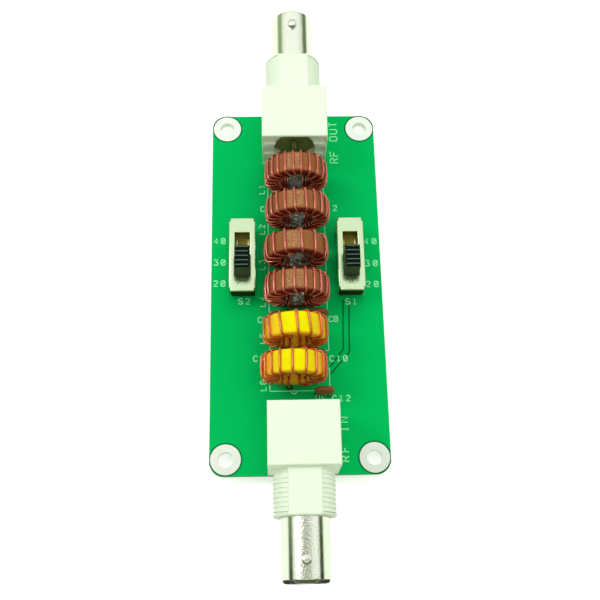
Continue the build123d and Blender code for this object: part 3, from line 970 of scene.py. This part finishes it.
class FILTER_OT_board(Operator):
    """Solder mask, printed lines and letters, pads, copper tracks and solder at the leads"""

    bl_idname = "filter.board"
    bl_label = "Board"

    def execute(self, context):
        look = context.scene.board_look
        paint(nodes["circuit_board"], solder_mask(look))
        paint(nodes["mounting_hole_plating"], tinned("pad tin", look.pad, (0.3, 0.45)))
        bare = flat_paint("mask over bare board", look.gap, 0.35)
        leads = lead_points()
        self.lines(look, leads, bare)
        self.solder(look, leads, bare)
        return {"FINISHED"}

    def lines(self, look, leads, bare):
        """Flat ribbons on the board's top, and the copper tracks standing out under it."""
        ribbon = ribbon_tree()
        ink = flat_paint("board print", look.ink, 0.55)
        # Painted shade: the switch outlines take a dimmer print colour, for the shade beside the switches
        shaded = flat_paint("faint board print", look.shaded_ink, 0.55)
        raised = flat_paint("mask over copper", [value * 1.25 for value in look.mask], 0.3)
        deep = look.ink_depth
        thin = deep * 0.6
        sunk = board_bottom - COPPER["below"]
        for name, lines, level, width, depth, material, slot in (
            ("board_print", print_lines(), board_top + deep / 2, look.stroke, deep, ink, "jack_plastic"),
            ("switch_outlines", switch_lines(), board_top + deep / 4, look.stroke * 0.6, deep / 2, shaded,
             "jack_plastic"),
            ("copper_gaps", gap_lines(look.gap_width), board_top + thin / 2, look.gap_width, thin, bare,
             "solder_mask"),
            ("copper_tracks", track_lines(leads), sunk, look.track_width, COPPER["depth"], raised,
             "solder_mask"),
        ):
            placed = [[(x, y, level) for x, y in line] for line in lines]
            piece = new_object(name, line_mesh(name, placed))
            run_tree(piece, ribbon, Width=width, Depth=depth, Material=material)
            finish_piece(piece, None)

    def solder(self, look, leads, bare):
        """Solder under the board and a ring without copper on top, at every lead.

        The profiles are in shares of a lead's radius, and the scale at each point takes their height
        down as well, so both lie almost flat on the board.
        """
        bright = tinned("solder", (0.72, 0.73, 0.72), (0.14, 0.3))
        scatter = scatter_tree()
        high = look.solder_height / MM
        fillet = [(0.3, 0.0), (1.0, 0.0), (0.74, high * 0.16), (0.56, high * 0.42), (0.46, high * 0.8),
                  (0.42, high), (0.3, high)]
        ring = [(0.62, 0.0), (0.95, 0.0), (0.95, 0.012), (0.62, 0.012)]
        thin = Matrix.Diagonal((1, 1, MM, 1))
        flipped = Matrix.Rotation(math.pi, 4, "X")
        for name, profile, place, level, material, slot, stands_for in (
            ("solder_fillets", fillet, flipped @ thin, board_bottom, bright, "solder", ("solder_joints",)),
            ("lead_rings", ring, thin, board_top, bare, "solder_mask", ()),
        ):
            shape = new_object("shape", turned_mesh("shape", profile, 20, place))
            mesh = bpy.data.meshes.new(name)
            mesh.from_pydata([(x, y, level) for x, y, radius in leads], [], [])
            sizes = mesh.attributes.new("size", "FLOAT", "POINT")
            for size, lead in zip(sizes.data, leads):
                size.value = lead[2]
            piece = new_object(name, mesh)
            run_tree(piece, scatter, Shape=shape, Material=material)
            finish_piece(piece, None, stands_for=stands_for)
            bpy.data.objects.remove(shape)


# Jacks

BUSHING = {"crest": 6.35 * MM, "bore": 4.86 * MM, "flat": 5.45 * MM, "lip": 0.25 * MM}
BARREL = {"wall": 0.78 * MM, "nose_length": 0.62 * MM, "nose_drop": 0.5 * MM, "lip": 0.14 * MM}
LUG = {"radius": 1.0 * MM, "from_mouth": 4.3 * MM, "sunk": 0.5 * MM}
SEAM = {"half_width": 0.05 * MM, "depth": 0.05 * MM}
THREAD = {"from": 0.75 * MM, "shorter": 1.6 * MM, "foot": 0.96, "crest": 0.3, "under_flat": 0.03 * MM}

# The rounded tip of a lug: radius, and drop from its top, in mm
LUG_TIP = ((1.0, 0.4), (0.94, 0.22), (0.76, 0.1), (0.42, 0.03), (0.001, 0.0))


def jack_axis(name):
    """The x and z of a jack's axis, and its barrel's radius."""
    low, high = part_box(f"{name}_jack_shell")
    return (low.x + high.x) / 2, (low.z + high.z) / 2, (high.x - low.x) / 2


class FILTER_OT_jacks(Operator):
    """Moulded housings with threaded bushings, nickel barrels, insulators and contacts"""

    bl_idname = "filter.jacks"
    bl_label = "Jacks"

    def execute(self, context):
        look = context.scene.jack_look
        thread = thread_tree()
        plastic = moulding(look)
        nickel = plating(look)
        waxy = finish("jack insulator", (0.8, 0.8, 0.75), roughness=(0.4, 0.55), tint=0.96, subsurface=0.2)
        gold = finish("gold contact", (0.83, 0.56, 0.18), metallic=1.0, roughness=(0.18, 0.3), tint=0.9)
        # Painted shade: this dull olive finish stands in for the shade inside the rear window
        tab = finish("ground tab", look.tab, metallic=0.3, roughness=(0.25, 0.4), grain=0.6, bump=0.5,
                     bump_size=0.1, tint=0.5)
        for name, side in zip(JACKS, (-1, 1)):
            self.housing(look, name, side, plastic, thread)
            self.barrel(name, side, nickel)
            self.inside(name, side, waxy, gold, tab)
        return {"FINISHED"}

    def housing(self, look, name, side, plastic, thread):
        node = f"{name}_jack_housing"
        front = board_high.y
        axis_x, axis_z, radius = jack_axis(name)
        block = copy_of(node, node + "_block", lambda centre: centre.y * side < front + TOUCHING)
        soften(block, look.edge_round, 3)
        finish_piece(block, plastic, stands_for=(node,))
        box_low, box_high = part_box(node)
        reach = (box_high.y if side > 0 else -box_low.y) - front
        bushing = new_object(f"{name}_jack_thread", self.bushing(look, reach))
        run_tree(bushing, thread, 66, Start=THREAD["from"], Length=reach - THREAD["shorter"],
                 Root=BUSHING["crest"] - look.thread_depth, Ridge=look.thread_depth * 2,
                 Pitch=look.thread_pitch, Foot=THREAD["foot"], Crest=THREAD["crest"],
                 Flat=BUSHING["flat"] - THREAD["under_flat"], Material=plastic)
        bushing.data.transform(along((axis_x, side * front, axis_z), (0, side, 0)))
        finish_piece(bushing, None)

    def bushing(self, look, reach):
        """The bushing without its thread, along local Z: a collar at each end and a flat on its X side."""
        crest, bore, flat, lip = (BUSHING[key] for key in ("crest", "bore", "flat", "lip"))
        root = crest - look.thread_depth
        profile = [
            (bore, -0.2 * MM), (crest, -0.2 * MM), (crest, 0.3 * MM), (root, 0.5 * MM),
            (root, reach - 0.6 * MM), (crest, reach - 0.45 * MM), (crest, reach - lip), (crest - lip, reach),
            (bore, reach),
        ]
        mesh = turned_mesh("bushing", profile, 160, Matrix.Identity(4))
        half = math.sqrt(crest ** 2 - flat ** 2)
        for vert in mesh.vertices:
            radius = math.hypot(vert.co.x, vert.co.y)
            if radius > (bore + root) / 2 and vert.co.x > 0 and abs(vert.co.y) < half:
                drop = max(0.0, crest - radius) if vert.co.z > reach - lip / 2 else 0.0
                vert.co.x = flat - drop
        return mesh

    def barrel(self, name, side, nickel):
        """The barrel, turned from a profile cut into short steps, with a lug above and below."""
        node = f"{name}_jack_shell"
        low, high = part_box(node)
        axis_x, axis_z, outer = jack_axis(name)
        inner = outer - BARREL["wall"]
        back = min(abs(low.y), abs(high.y))
        mouth = max(abs(low.y), abs(high.y))
        reach = mouth - back
        profile = rounded([
            (inner, 0), (outer, 0), (outer, reach - BARREL["nose_length"]),
            (outer - BARREL["nose_drop"], reach), (inner, reach),
        ], BARREL["lip"], 5)
        stepped = []
        for here, after in zip(profile, profile[1:] + profile[:1]):
            steps = int(math.dist(here, after) / (1.2 * MM))
            stepped.append(here)
            stepped += [tuple(Vector(here).lerp(Vector(after), step / steps)) for step in range(1, steps)]
        place = along((axis_x, side * back, axis_z), (0, side, 0))
        barrel = new_object(node + "_barrel", turned_mesh("barrel", stepped, 180, place))
        lug_y = mouth - LUG["from_mouth"]
        self.seam(barrel, axis_x, axis_z, lug_y, outer)
        foot = outer - LUG["sunk"]
        top = (high.z - low.z) / 2 - outer + LUG["sunk"]
        lug = [(TOUCHING, 0), (LUG["radius"], 0)]
        lug += [(radius * MM, top - drop * MM) for radius, drop in LUG_TIP]
        whole = bmesh.new()
        for way in (1, -1):
            spot = Matrix.Translation((axis_x, side * lug_y, axis_z + way * foot))
            mesh = turned_mesh("lug", lug, 32, spot @ Matrix.Diagonal((1, 1, way, 1)))
            if way < 0:
                mesh.flip_normals()
            whole.from_mesh(mesh)
        whole.from_mesh(barrel.data)
        whole.to_mesh(barrel.data)
        whole.free()
        smooth_shade(barrel.data, 50)
        finish_piece(barrel, nickel, stands_for=(node,))

    def seam(self, barrel, axis_x, axis_z, from_y, outer):
        """A fine parting groove on top of the barrel, from the lug to the mouth."""
        for vert in barrel.data.vertices:
            across = abs(vert.co.x - axis_x)
            on_top = across < SEAM["half_width"] and vert.co.z > axis_z + outer * 0.9
            if on_top and abs(vert.co.y) > from_y:
                vert.co.z -= SEAM["depth"]

    def inside(self, name, side, waxy, gold, tab):
        for part, material, slot, width in (
            ("insulator", waxy, "insulator", 0.12 * MM),
            ("contact", gold, "gold_contact", 0.06 * MM),
            ("ground_tab", tab, "tinned_tab", 0.06 * MM),
        ):
            node = f"{name}_jack_{part}"
            piece = copy_of(node, node + "_dressed")
            soften(piece, width)
            finish_piece(piece, material, stands_for=(node,))
            if part == "contact":
                self.tin_and_shade_the_tail(piece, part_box(f"{name}_jack_insulator"), side, tab)

    def tin_and_shade_the_tail(self, piece, insulator, side, tab):
        """The contact is bare behind the insulator, where its tail bends down to the board. There it takes
        the tab's finish, painted dark for the shade in the rear window.
        """
        piece.data.materials.append(tab)
        back = insulator[0].y if side > 0 else -insulator[1].y
        for face in piece.data.polygons:
            if face.center.y * side < back:
                face.material_index = 1


# Coils

CORE = {"wall": 2.5 * MM, "edge": 0.75 * MM}
STAMP = {"shift": 0.5 * MM, "half_width": 1.75 * MM, "half_depth": 2.0 * MM, "sunk": 0.02 * MM}
BORE = {"reach": 0.5 * MM, "fade": 0.3 * MM}
WIRE = {"clearance": 0.03 * MM, "bend": 0.5 * MM, "rise": 0.8 * MM}

# How far from the top the hidden turns go, in degrees
LAST_TURN = {"red": 150.0, "yellow": 163.0}


def outer_turns(number):
    """Where each turn crosses the rim: the upper ones as seen, the hidden ones evenly below them."""
    seen = UPPER_TURNS[number]
    edge = LAST_TURN["red" if number in RED_COILS else "yellow"]
    hidden = TURNS[number] - len(seen)
    left = hidden // 2
    right = hidden - left
    places = [seen[0] - (edge + seen[0]) * (step + 1) / (left + 0.5) for step in range(left)][::-1]
    places += list(seen)
    places += [seen[-1] + (edge - seen[-1]) * (step + 1) / (right + 0.5) for step in range(right)]
    return places


class FILTER_OT_coils(Operator):
    """Ring cores with smooth coats, and enamelled wire wound round them by hand"""

    bl_idname = "filter.coils"
    bl_label = "Coils"

    def execute(self, context):
        look = context.scene.coil_look
        leads = lead_points()
        red = (red_core(look), "core_red", enamel("red enamelled wire", look.wire_red, 1.0), "wire_red")
        yellow = (yellow_core(look), "core_yellow", enamel("orange enamelled wire", look.wire_orange, 0.5),
                  "wire_orange")
        for number in COILS:
            coat, core_slot, paint_on_wire, wire_slot = red if number in RED_COILS else yellow
            low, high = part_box(f"coil_{number}_core")
            self.core(f"coil_{number}_core", low, high, coat, core_slot)
            node = f"coil_{number}_winding"
            points = self.wire_points(look, number, low, high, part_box(node)[0].z, leads)
            wire = new_object(node + "_wire", wire_mesh(node + "_wire", points, look.wire_radius))
            finish_piece(wire, paint_on_wire, stands_for=(node,))
        return {"FINISHED"}

    def core(self, node, low, high, coat, slot):
        centre = (low + high) / 2
        outer = (high.x - low.x) / 2
        inner = outer - CORE["wall"]
        half = (high.y - low.y) / 2
        profile = rounded([(inner, -half), (outer, -half), (outer, half), (inner, half)], CORE["edge"], 6)
        mesh = turned_mesh(node, profile, 144, along(centre, (0, 1, 0)))
        core = new_object(node + "_coated", mesh)
        self.mark(mesh, centre, inner, outer)
        smooth_shade(mesh, 50)
        finish_piece(core, coat, stands_for=(node,))

    def mark(self, mesh, centre, inner, outer):
        """Weights for the stamped patch on top and the bare iron in the bore."""
        stamp = mesh.attributes.new("stamp", "FLOAT", "POINT")
        bore = mesh.attributes.new("bore", "FLOAT", "POINT")
        for number, vert in enumerate(mesh.vertices):
            offset = vert.co - centre
            radius = math.hypot(offset.x, offset.z)
            on_top = offset.z > 0 and radius > outer - STAMP["sunk"]
            beside = abs(offset.x + STAMP["shift"]) < STAMP["half_width"]
            within = abs(offset.y) < STAMP["half_depth"]
            stamp.data[number].value = 1.0 if on_top and beside and within else 0.0
            bore.data[number].value = min(1.0, max(0.0, (inner + BORE["reach"] - radius) / BORE["fade"]))

    def wire_points(self, look, number, low, high, tip, leads):
        """One wire up from its hole, round the ring turn by turn, and down to its second hole."""
        centre = (low + high) / 2
        gap = look.wire_radius + WIRE["clearance"]
        outer = (high.x - low.x) / 2 + gap
        inner = outer - 2 * gap - CORE["wall"]
        face = (high.y - low.y) / 2 + gap
        bend = WIRE["bend"]
        dice = random.Random(number)
        rim = outer_turns(number)
        gaps = [rim[0] - (rim[1] - rim[0]) / 2]
        gaps += [(here + after) / 2 for here, after in zip(rim, rim[1:])]
        gaps.append(rim[-1] + (rim[-1] - rim[-2]) / 2)

        def spot(radius, depth, degrees):
            angle = math.radians(degrees)
            return centre + Vector((radius * math.sin(angle), depth, radius * math.cos(angle)))

        def tail(face_y):
            """The wire's end from its tip up through the hole nearest to one face of the ring."""
            x, y = min(leads, key=lambda lead: math.dist(lead[:2], (centre.x, face_y)))[:2]
            return [Vector((x, y, height)) for height in (tip, board_top, board_top + WIRE["rise"])]

        points = tail(low.y) + [spot(inner + bend, -face, gaps[0])]
        for turn, angle in enumerate(gaps):
            loose = look.wobble * dice.uniform(0.0, 0.5) * MM
            shift = look.wobble * dice.uniform(-3, 3)
            points += [
                spot(inner - loose, bend - face, angle + shift),
                spot(inner - loose, face - bend, angle + shift),
                spot(inner + bend, face, angle),
            ]
            if turn < len(rim):
                here = rim[turn]
                slant = SLANTS[number] + look.wobble * dice.uniform(-1.4, 1.4)
                stand = look.slack * math.sin(math.radians(here)) ** 2 * dice.uniform(0.5, 1.0)
                points += [
                    spot(outer - bend, face, here - slant), spot(outer + stand, face - bend, here - slant),
                    spot(outer + stand, bend - face, here + slant), spot(outer - bend, -face, here + slant),
                    spot(inner + bend, -face, gaps[turn + 1]),
                ]
        return points + tail(high.y)[::-1]


# Capacitors

HALF_LEAD_PITCH = 1.27 * MM

# The lacquer's drip round each lead starts below this share of the body's half height
DRIP = {"width": 0.55 * MM, "length": 0.35 * MM, "below": 0.6}

# How far a body may lean, in mm at its top
LEAN = 0.06


class FILTER_OT_capacitors(Operator):
    """Dipped capacitor bodies with a skirt of lacquer on each lead"""

    bl_idname = "filter.capacitors"
    bl_label = "Capacitors"

    def execute(self, context):
        lacquer = dipped()
        for number in CAPACITORS:
            node = f"capacitor_{number}"
            low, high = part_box(node)
            piece = new_object(node + "_body", self.body(low, high, number))
            finish_piece(piece, lacquer, stands_for=(node,))
        paint(nodes["capacitor_leads"], tinned())
        return {"FINISHED"}

    def body(self, low, high, number):
        """A flat pillow with an uneven skin, and a drip running down each lead."""
        dice = random.Random(number)
        centre, half = (low + high) / 2, (high - low) / 2
        shape = bmesh.new()
        bmesh.ops.create_uvsphere(shape, u_segments=40, v_segments=24, radius=1.0)
        for vert in shape.verts:
            x, y, z = vert.co
            power = (abs(x) ** 3 + abs(z) ** 3) ** (1 / 3) or 1.0
            flat = math.hypot(x, z) or 1.0
            x, z = x * flat / power, z * flat / power
            bulge = math.copysign(abs(y) ** 0.7, y)
            vert.co = Vector((x * half.x, bulge * half.y, z * half.z)) + centre
            from_lead = abs(abs(vert.co.x - centre.x) - HALF_LEAD_PITCH)
            drip = max(0.0, 1 - from_lead / DRIP["width"])
            if z < -DRIP["below"]:
                vert.co.z -= drip * DRIP["length"] * (-z - DRIP["below"]) / (1 - DRIP["below"])
        lean = dice.uniform(-LEAN, LEAN) * MM
        for vert in shape.verts:
            vert.co.y += lean * (vert.co.z - centre.z) / half.z
        bmesh.ops.recalc_face_normals(shape, faces=shape.faces)
        mesh = mesh_of(shape, f"capacitor_{number}")
        smooth_shade(mesh, 80)
        return mesh


# Slide switches

KNOB = {
    "edge": 0.14 * MM, "ridge_height": 0.35 * MM, "ridge_edge": 0.09 * MM, "first_ridge": 0.6 * MM,
    "margin": 0.2 * MM,
}
TRAY_WALL = 0.3 * MM
# How far past the knob the painted reflection sits
REFLECTION_BEYOND = 1.0 * MM


class FILTER_OT_switches(Operator):
    """Plated covers, moulded bases, ridged knobs, terminals and wipers"""

    bl_idname = "filter.switches"
    bl_label = "Slide switches"

    def execute(self, context):
        look = context.scene.switch_look
        ridges = ridge_tree()
        plate = cover_plate(look)
        brown = phenolic("switch phenolic", look.base, 0.7)
        tray = phenolic("switch tray", look.tray, 0.6)
        silver = tinned("silvered terminal", (0.8, 0.74, 0.36), (0.45, 0.6))
        spring = finish("spring bronze", (0.8, 0.55, 0.25), metallic=1.0, roughness=(0.25, 0.4))
        black = knob_black(look)
        # Painted highlight: a paler finish on the ridges for the light their crests catch
        painted_light = finish("worn ridge", look.ridge, roughness=(0.25, 0.4), grain=2.5, bump=0.2, tint=0.7)
        for name in SWITCHES:
            for part, material, slot, width, body in (
                ("cover", plate, "switch_cover", 0.16 * MM, MODULE),
                ("base", brown, "switch_base", 0.1 * MM, MODULE),
                ("terminals", silver, "switch_terminal", 0.04 * MM, MODULE),
                ("wipers", spring, "switch_wiper", 0.03 * MM, f"{name}_slider"),
            ):
                node = f"{name}_switch_{part}"
                piece = copy_of(node, node + "_dressed")
                soften(piece, width)
                finish_piece(piece, material, body, (node,))
                if part == "base":
                    self.line_the_tray(piece, tray)
                if part == "cover":
                    self.mark_the_painted_reflection(piece, name)
            self.slider(look, name, ridges, black, painted_light)
        return {"FINISHED"}

    def mark_the_painted_reflection(self, piece, name):
        """Tells the cover's finish where the knob's painted reflection is: just past the near side of the
        knob.
        """
        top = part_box(f"{name}_switch_cover")[1].z
        knob = [vert.co for vert in nodes[f"{name}_switch_slider"].data.vertices if vert.co.z > top]
        xs, ys = [point.x for point in knob], [point.y for point in knob]
        spot = ((min(xs) + max(xs)) / 2, min(ys) - REFLECTION_BEYOND, top)
        marks = piece.data.attributes.new("painted_reflection", "FLOAT_VECTOR", "POINT")
        for mark in marks.data:
            mark.vector = spot

    def line_the_tray(self, piece, tray):
        """The base is paler inside, where the slot shows it."""
        piece.data.materials.append(tray)
        xs = [vert.co.x for vert in piece.data.vertices]
        ys = [vert.co.y for vert in piece.data.vertices]
        middle = ((min(xs) + max(xs)) / 2, (min(ys) + max(ys)) / 2)
        room = ((max(xs) - min(xs)) / 2 - TRAY_WALL, (max(ys) - min(ys)) / 2 - TRAY_WALL)
        for face in piece.data.polygons:
            away = (abs(face.center.x - middle[0]), abs(face.center.y - middle[1]))
            if away[0] < room[0] and away[1] < room[1] and face.normal.z > -0.1:
                face.material_index = 1

    def slider(self, look, name, ridges, black, painted_light):
        """The knob with a plain top, and ridges across it: rounded bars sunk almost halfway in."""
        node = f"{name}_switch_slider"
        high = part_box(node)[1].z
        ridge_high = KNOB["ridge_height"]
        top = high - ridge_high
        body = copy_of(node, node + "_knob", lambda centre: centre.z < top + TOUCHING)
        self.close(body)
        soften(body, KNOB["edge"], 3)
        finish_piece(body, black, f"{name}_slider", (node,))
        rim = [vert.co for vert in nodes[node].data.vertices if abs(vert.co.z - top) < 0.01 * MM]
        left, right = min(point.x for point in rim), max(point.x for point in rim)
        first = min(point.y for point in rim) + KNOB["first_ridge"]
        row = new_object(node + "_ridges", bpy.data.meshes.new("ridges"))
        run_tree(row, ridges, Count=look.ridges, Pitch=look.ridge_pitch, Width=look.ridge_width,
                 Length=right - left - 2 * KNOB["margin"], Height=ridge_high * 1.9, Material=painted_light)
        row.data.transform(Matrix.Translation(((left + right) / 2, first, high - ridge_high * 0.95)))
        soften(row, KNOB["ridge_edge"], 3)
        finish_piece(row, None, f"{name}_slider")

    def close(self, piece):
        """Fills the holes that the ridges left in the knob's top."""
        shape = bmesh.new()
        shape.from_mesh(piece.data)
        rim = [edge for edge in shape.edges if edge.is_boundary]
        bmesh.ops.holes_fill(shape, edges=rim)
        bmesh.ops.recalc_face_normals(shape, faces=shape.faces)
        shape.to_mesh(piece.data)
        shape.free()


# Stage

# Place in mm, angles in radians, lens and sensor in mm
CAMERA = {
    "x": -5.6954, "y": -68.567, "height": 185.8639, "tilt": 0.3359, "yaw": -0.0982, "roll": -0.0813,
    "lens": 53.32, "sensor": 36,
}


class FILTER_OT_stage(Operator):
    """White floor and sky, two lamps, dark cards for metal to mirror, and the photograph's camera"""

    bl_idname = "filter.stage"
    bl_label = "Stage"

    def execute(self, context):
        look = context.scene.stage_look
        context.scene.view_settings.view_transform = "Standard"
        self.floor(look)
        self.sky(look)
        self.lamps(look)
        self.cards()
        self.camera(context)
        return {"FINISHED"}

    def floor(self, look):
        """White to the camera, and a faint glow to bright metal."""
        half = look.floor_size / 2
        corners = [(x * half, y * half, cad_box[0].z) for x, y in ((-1, -1), (1, -1), (1, 1), (-1, 1))]
        mesh = bpy.data.meshes.new("floor")
        mesh.from_pydata(corners, [], [(0, 1, 2, 3)])
        floor = new_object("floor", mesh)
        material = plain_material("white floor")
        tree = material.node_tree
        path = add(tree, "ShaderNodeLightPath").outputs
        straight = work_out(tree, "MULTIPLY", path["Is Camera Ray"], 0.5)
        shader = shader_of(material)
        for key, value in (
            ("Base Color", (*look.floor, 1)),
            ("Roughness", 0.9),
            ("Emission Color", (1, 1, 1, 1)),
            ("Emission Strength",
             work_out(tree, "MULTIPLY_ADD", path["Is Glossy Ray"], look.mirrored_floor, straight)),
        ):
            feed(tree, shader[key], value)
        paint(floor, material)

    def sky(self, look):
        """White to the camera. Bright metal mirrors a bright sky, with a dim band low down."""
        world = bpy.data.worlds.new("white sky")
        world.use_nodes = True
        bpy.context.scene.world = world
        tree = world.node_tree
        way = add(tree, "ShaderNodeTexCoord")
        parts = add(tree, "ShaderNodeSeparateXYZ", {0: way.outputs["Generated"]}).outputs

        def band(axis, start, end, low=0.0, high=1.0, smooth=False):
            return span(tree, parts[axis], low, high, start, end, smooth)

        height = band("Z", 0.0, 0.4, 0.3 * look.sky, look.sky)
        behind = band("Y", -0.8, 0.0, 1.1, 1.0)
        lit = tree.nodes["Background"]
        lit.inputs["Color"].default_value = (0.88, 1.0, 0.74, 1)
        feed(tree, lit.inputs["Strength"], work_out(tree, "MULTIPLY", height, behind))
        front = band("Y", 0.03, 0.11, 0.01, look.horizon, True)
        right = band("X", -0.5, 0.5, 1.0, 0.45)
        near = band("Y", -0.1, -0.35, 0.0, 0.12)
        dim = work_out(tree, "ADD", work_out(tree, "MULTIPLY", front, right), near)
        above = band("Z", 0.34, 0.52, smooth=True)
        below = band("Z", 0.08, 0.01, smooth=True)
        ahead = band("Y", -0.05, -0.3, 1.0, 0.0)
        overhead = band("Z", 0.6, 0.85)
        bright = work_out(tree, "MAXIMUM", above, below)
        open_sky = work_out(tree, "MAXIMUM", ahead, overhead)
        climb = work_out(tree, "MULTIPLY", bright, open_sky)
        seen = add(tree, "ShaderNodeBackground", {
            "Color": shade(tree, (0.72, 0.95, 0.5), (1.0, 1.0, 1.0), climb),
            "Strength": blend_values(tree, dim, look.mirrored_sky, climb),
        })
        plain = add(tree, "ShaderNodeBackground", {"Color": (1, 1, 1, 1), "Strength": 1.0})
        path = add(tree, "ShaderNodeLightPath").outputs
        glossy = add(tree, "ShaderNodeMixShader", {
            0: path["Is Glossy Ray"], 1: lit.outputs[0], 2: seen.outputs[0],
        })
        mixed = add(tree, "ShaderNodeMixShader", {
            0: path["Is Camera Ray"], 1: glossy.outputs[0], 2: plain.outputs[0],
        })
        tree.links.new(mixed.outputs[0], tree.nodes["World Output"].inputs["Surface"])

    def lamps(self, look):
        """A large lamp that metal doesn't mirror, and a small one that gives the wires their glints."""
        for name, power, size, place, mirrored in (
            ("fill", look.fill_power, look.fill_size, (0.12, 0.12, 0.5), False),
            ("key", look.key_power, look.key_size, (-0.3, 0.1, 0.4), True),
        ):
            light = bpy.data.lights.new(name, "AREA")
            light.energy = power
            light.size = size
            lamp = new_object(name, light)
            lamp.location = place
            lamp.rotation_euler = (-Vector(place)).to_track_quat("-Z", "Y").to_euler()
            lamp.visible_glossy = mirrored

    def cards(self):
        """Dark cards that only bright metal shows: the camera overhead, and the floor in front."""
        wide = 0.5
        above = (CAMERA["x"] * MM, CAMERA["y"] * MM, CAMERA["height"] * MM + 0.02)
        ahead = (0, cad_box[0].y - 0.002 - wide / 2, cad_box[0].z + 0.0002)
        for name, tone, width, depth, place in (
            ("camera_card", (0.36, 0.31, 0.28), 0.216, 0.09, above),
            ("front_card", (0.03, 0.03, 0.03), wide, wide, ahead),
        ):
            shape = bmesh.new()
            bmesh.ops.create_circle(shape, cap_ends=True, segments=96, radius=0.5)
            shape.transform(Matrix.Translation(place) @ Matrix.Diagonal((width, depth, 1, 1)))
            card = new_object(name, mesh_of(shape, name))
            material = plain_material(name.replace("_", " "))
            shader_of(material)["Base Color"].default_value = (*tone, 1)
            paint(card, material)
            card.visible_camera = False
            card.visible_diffuse = False
            card.visible_shadow = False

    def camera(self, context):
        """The photograph's camera: it looks down the board from above the input jack."""
        tilt, roll = CAMERA["tilt"], CAMERA["roll"]
        turn = Matrix.Rotation(CAMERA["yaw"], 3, "Z")
        forward = turn @ Vector((0, math.sin(tilt), -math.cos(tilt)))
        upward = turn @ Vector((0, math.cos(tilt), math.sin(tilt)))
        right = turn @ Vector((1, 0, 0))
        up = upward * math.cos(roll) + right * math.sin(roll)
        across = right * math.cos(roll) - upward * math.sin(roll)
        lens = bpy.data.cameras.new("camera")
        lens.lens = CAMERA["lens"]
        lens.sensor_width = CAMERA["sensor"]
        lens.clip_start = 0.01
        camera = new_object("camera", lens)
        place = Matrix((across, up, -forward)).transposed().to_4x4()
        place.translation = Vector((CAMERA["x"] * MM, CAMERA["y"] * MM, CAMERA["height"] * MM + board_top))
        camera.matrix_world = place
        context.scene.camera = camera


class FILTER_PT_panel(Panel):
    """The module's pieces, each with its sizes and colours"""

    bl_idname = "FILTER_PT_panel"
    bl_label = "Filter Module"
    bl_space_type = "VIEW_3D"
    bl_region_type = "UI"
    bl_category = "Filter Module"

    def draw(self, context):
        for step, look in zip(STEPS, LOOKS):
            box = self.layout.box()
            box.operator(step)
            for name in LOOKS[look].__annotations__:
                box.prop(getattr(context.scene, look), name)


STEPS = (
    "filter.board", "filter.jacks", "filter.coils", "filter.capacitors", "filter.switches", "filter.stage",
)
CLASSES = (
    BoardLook, JackLook, CoilLook, SwitchLook, StageLook,
    FILTER_OT_board, FILTER_OT_jacks, FILTER_OT_coils, FILTER_OT_capacitors, FILTER_OT_switches,
    FILTER_OT_stage, FILTER_PT_panel,
)


def register():
    for item in CLASSES:
        bpy.utils.register_class(item)
    for name, kind in LOOKS.items():
        setattr(bpy.types.Scene, name, PointerProperty(type=kind))


def unregister():
    for name in LOOKS:
        delattr(bpy.types.Scene, name)
    for item in reversed(CLASSES):
        bpy.utils.unregister_class(item)


def main():
    register()
    bpy.ops.filter.board()
    bpy.ops.filter.jacks()
    bpy.ops.filter.coils()
    bpy.ops.filter.capacitors()
    bpy.ops.filter.switches()
    bpy.ops.filter.stage()


if __name__ == "__main__":
    main()
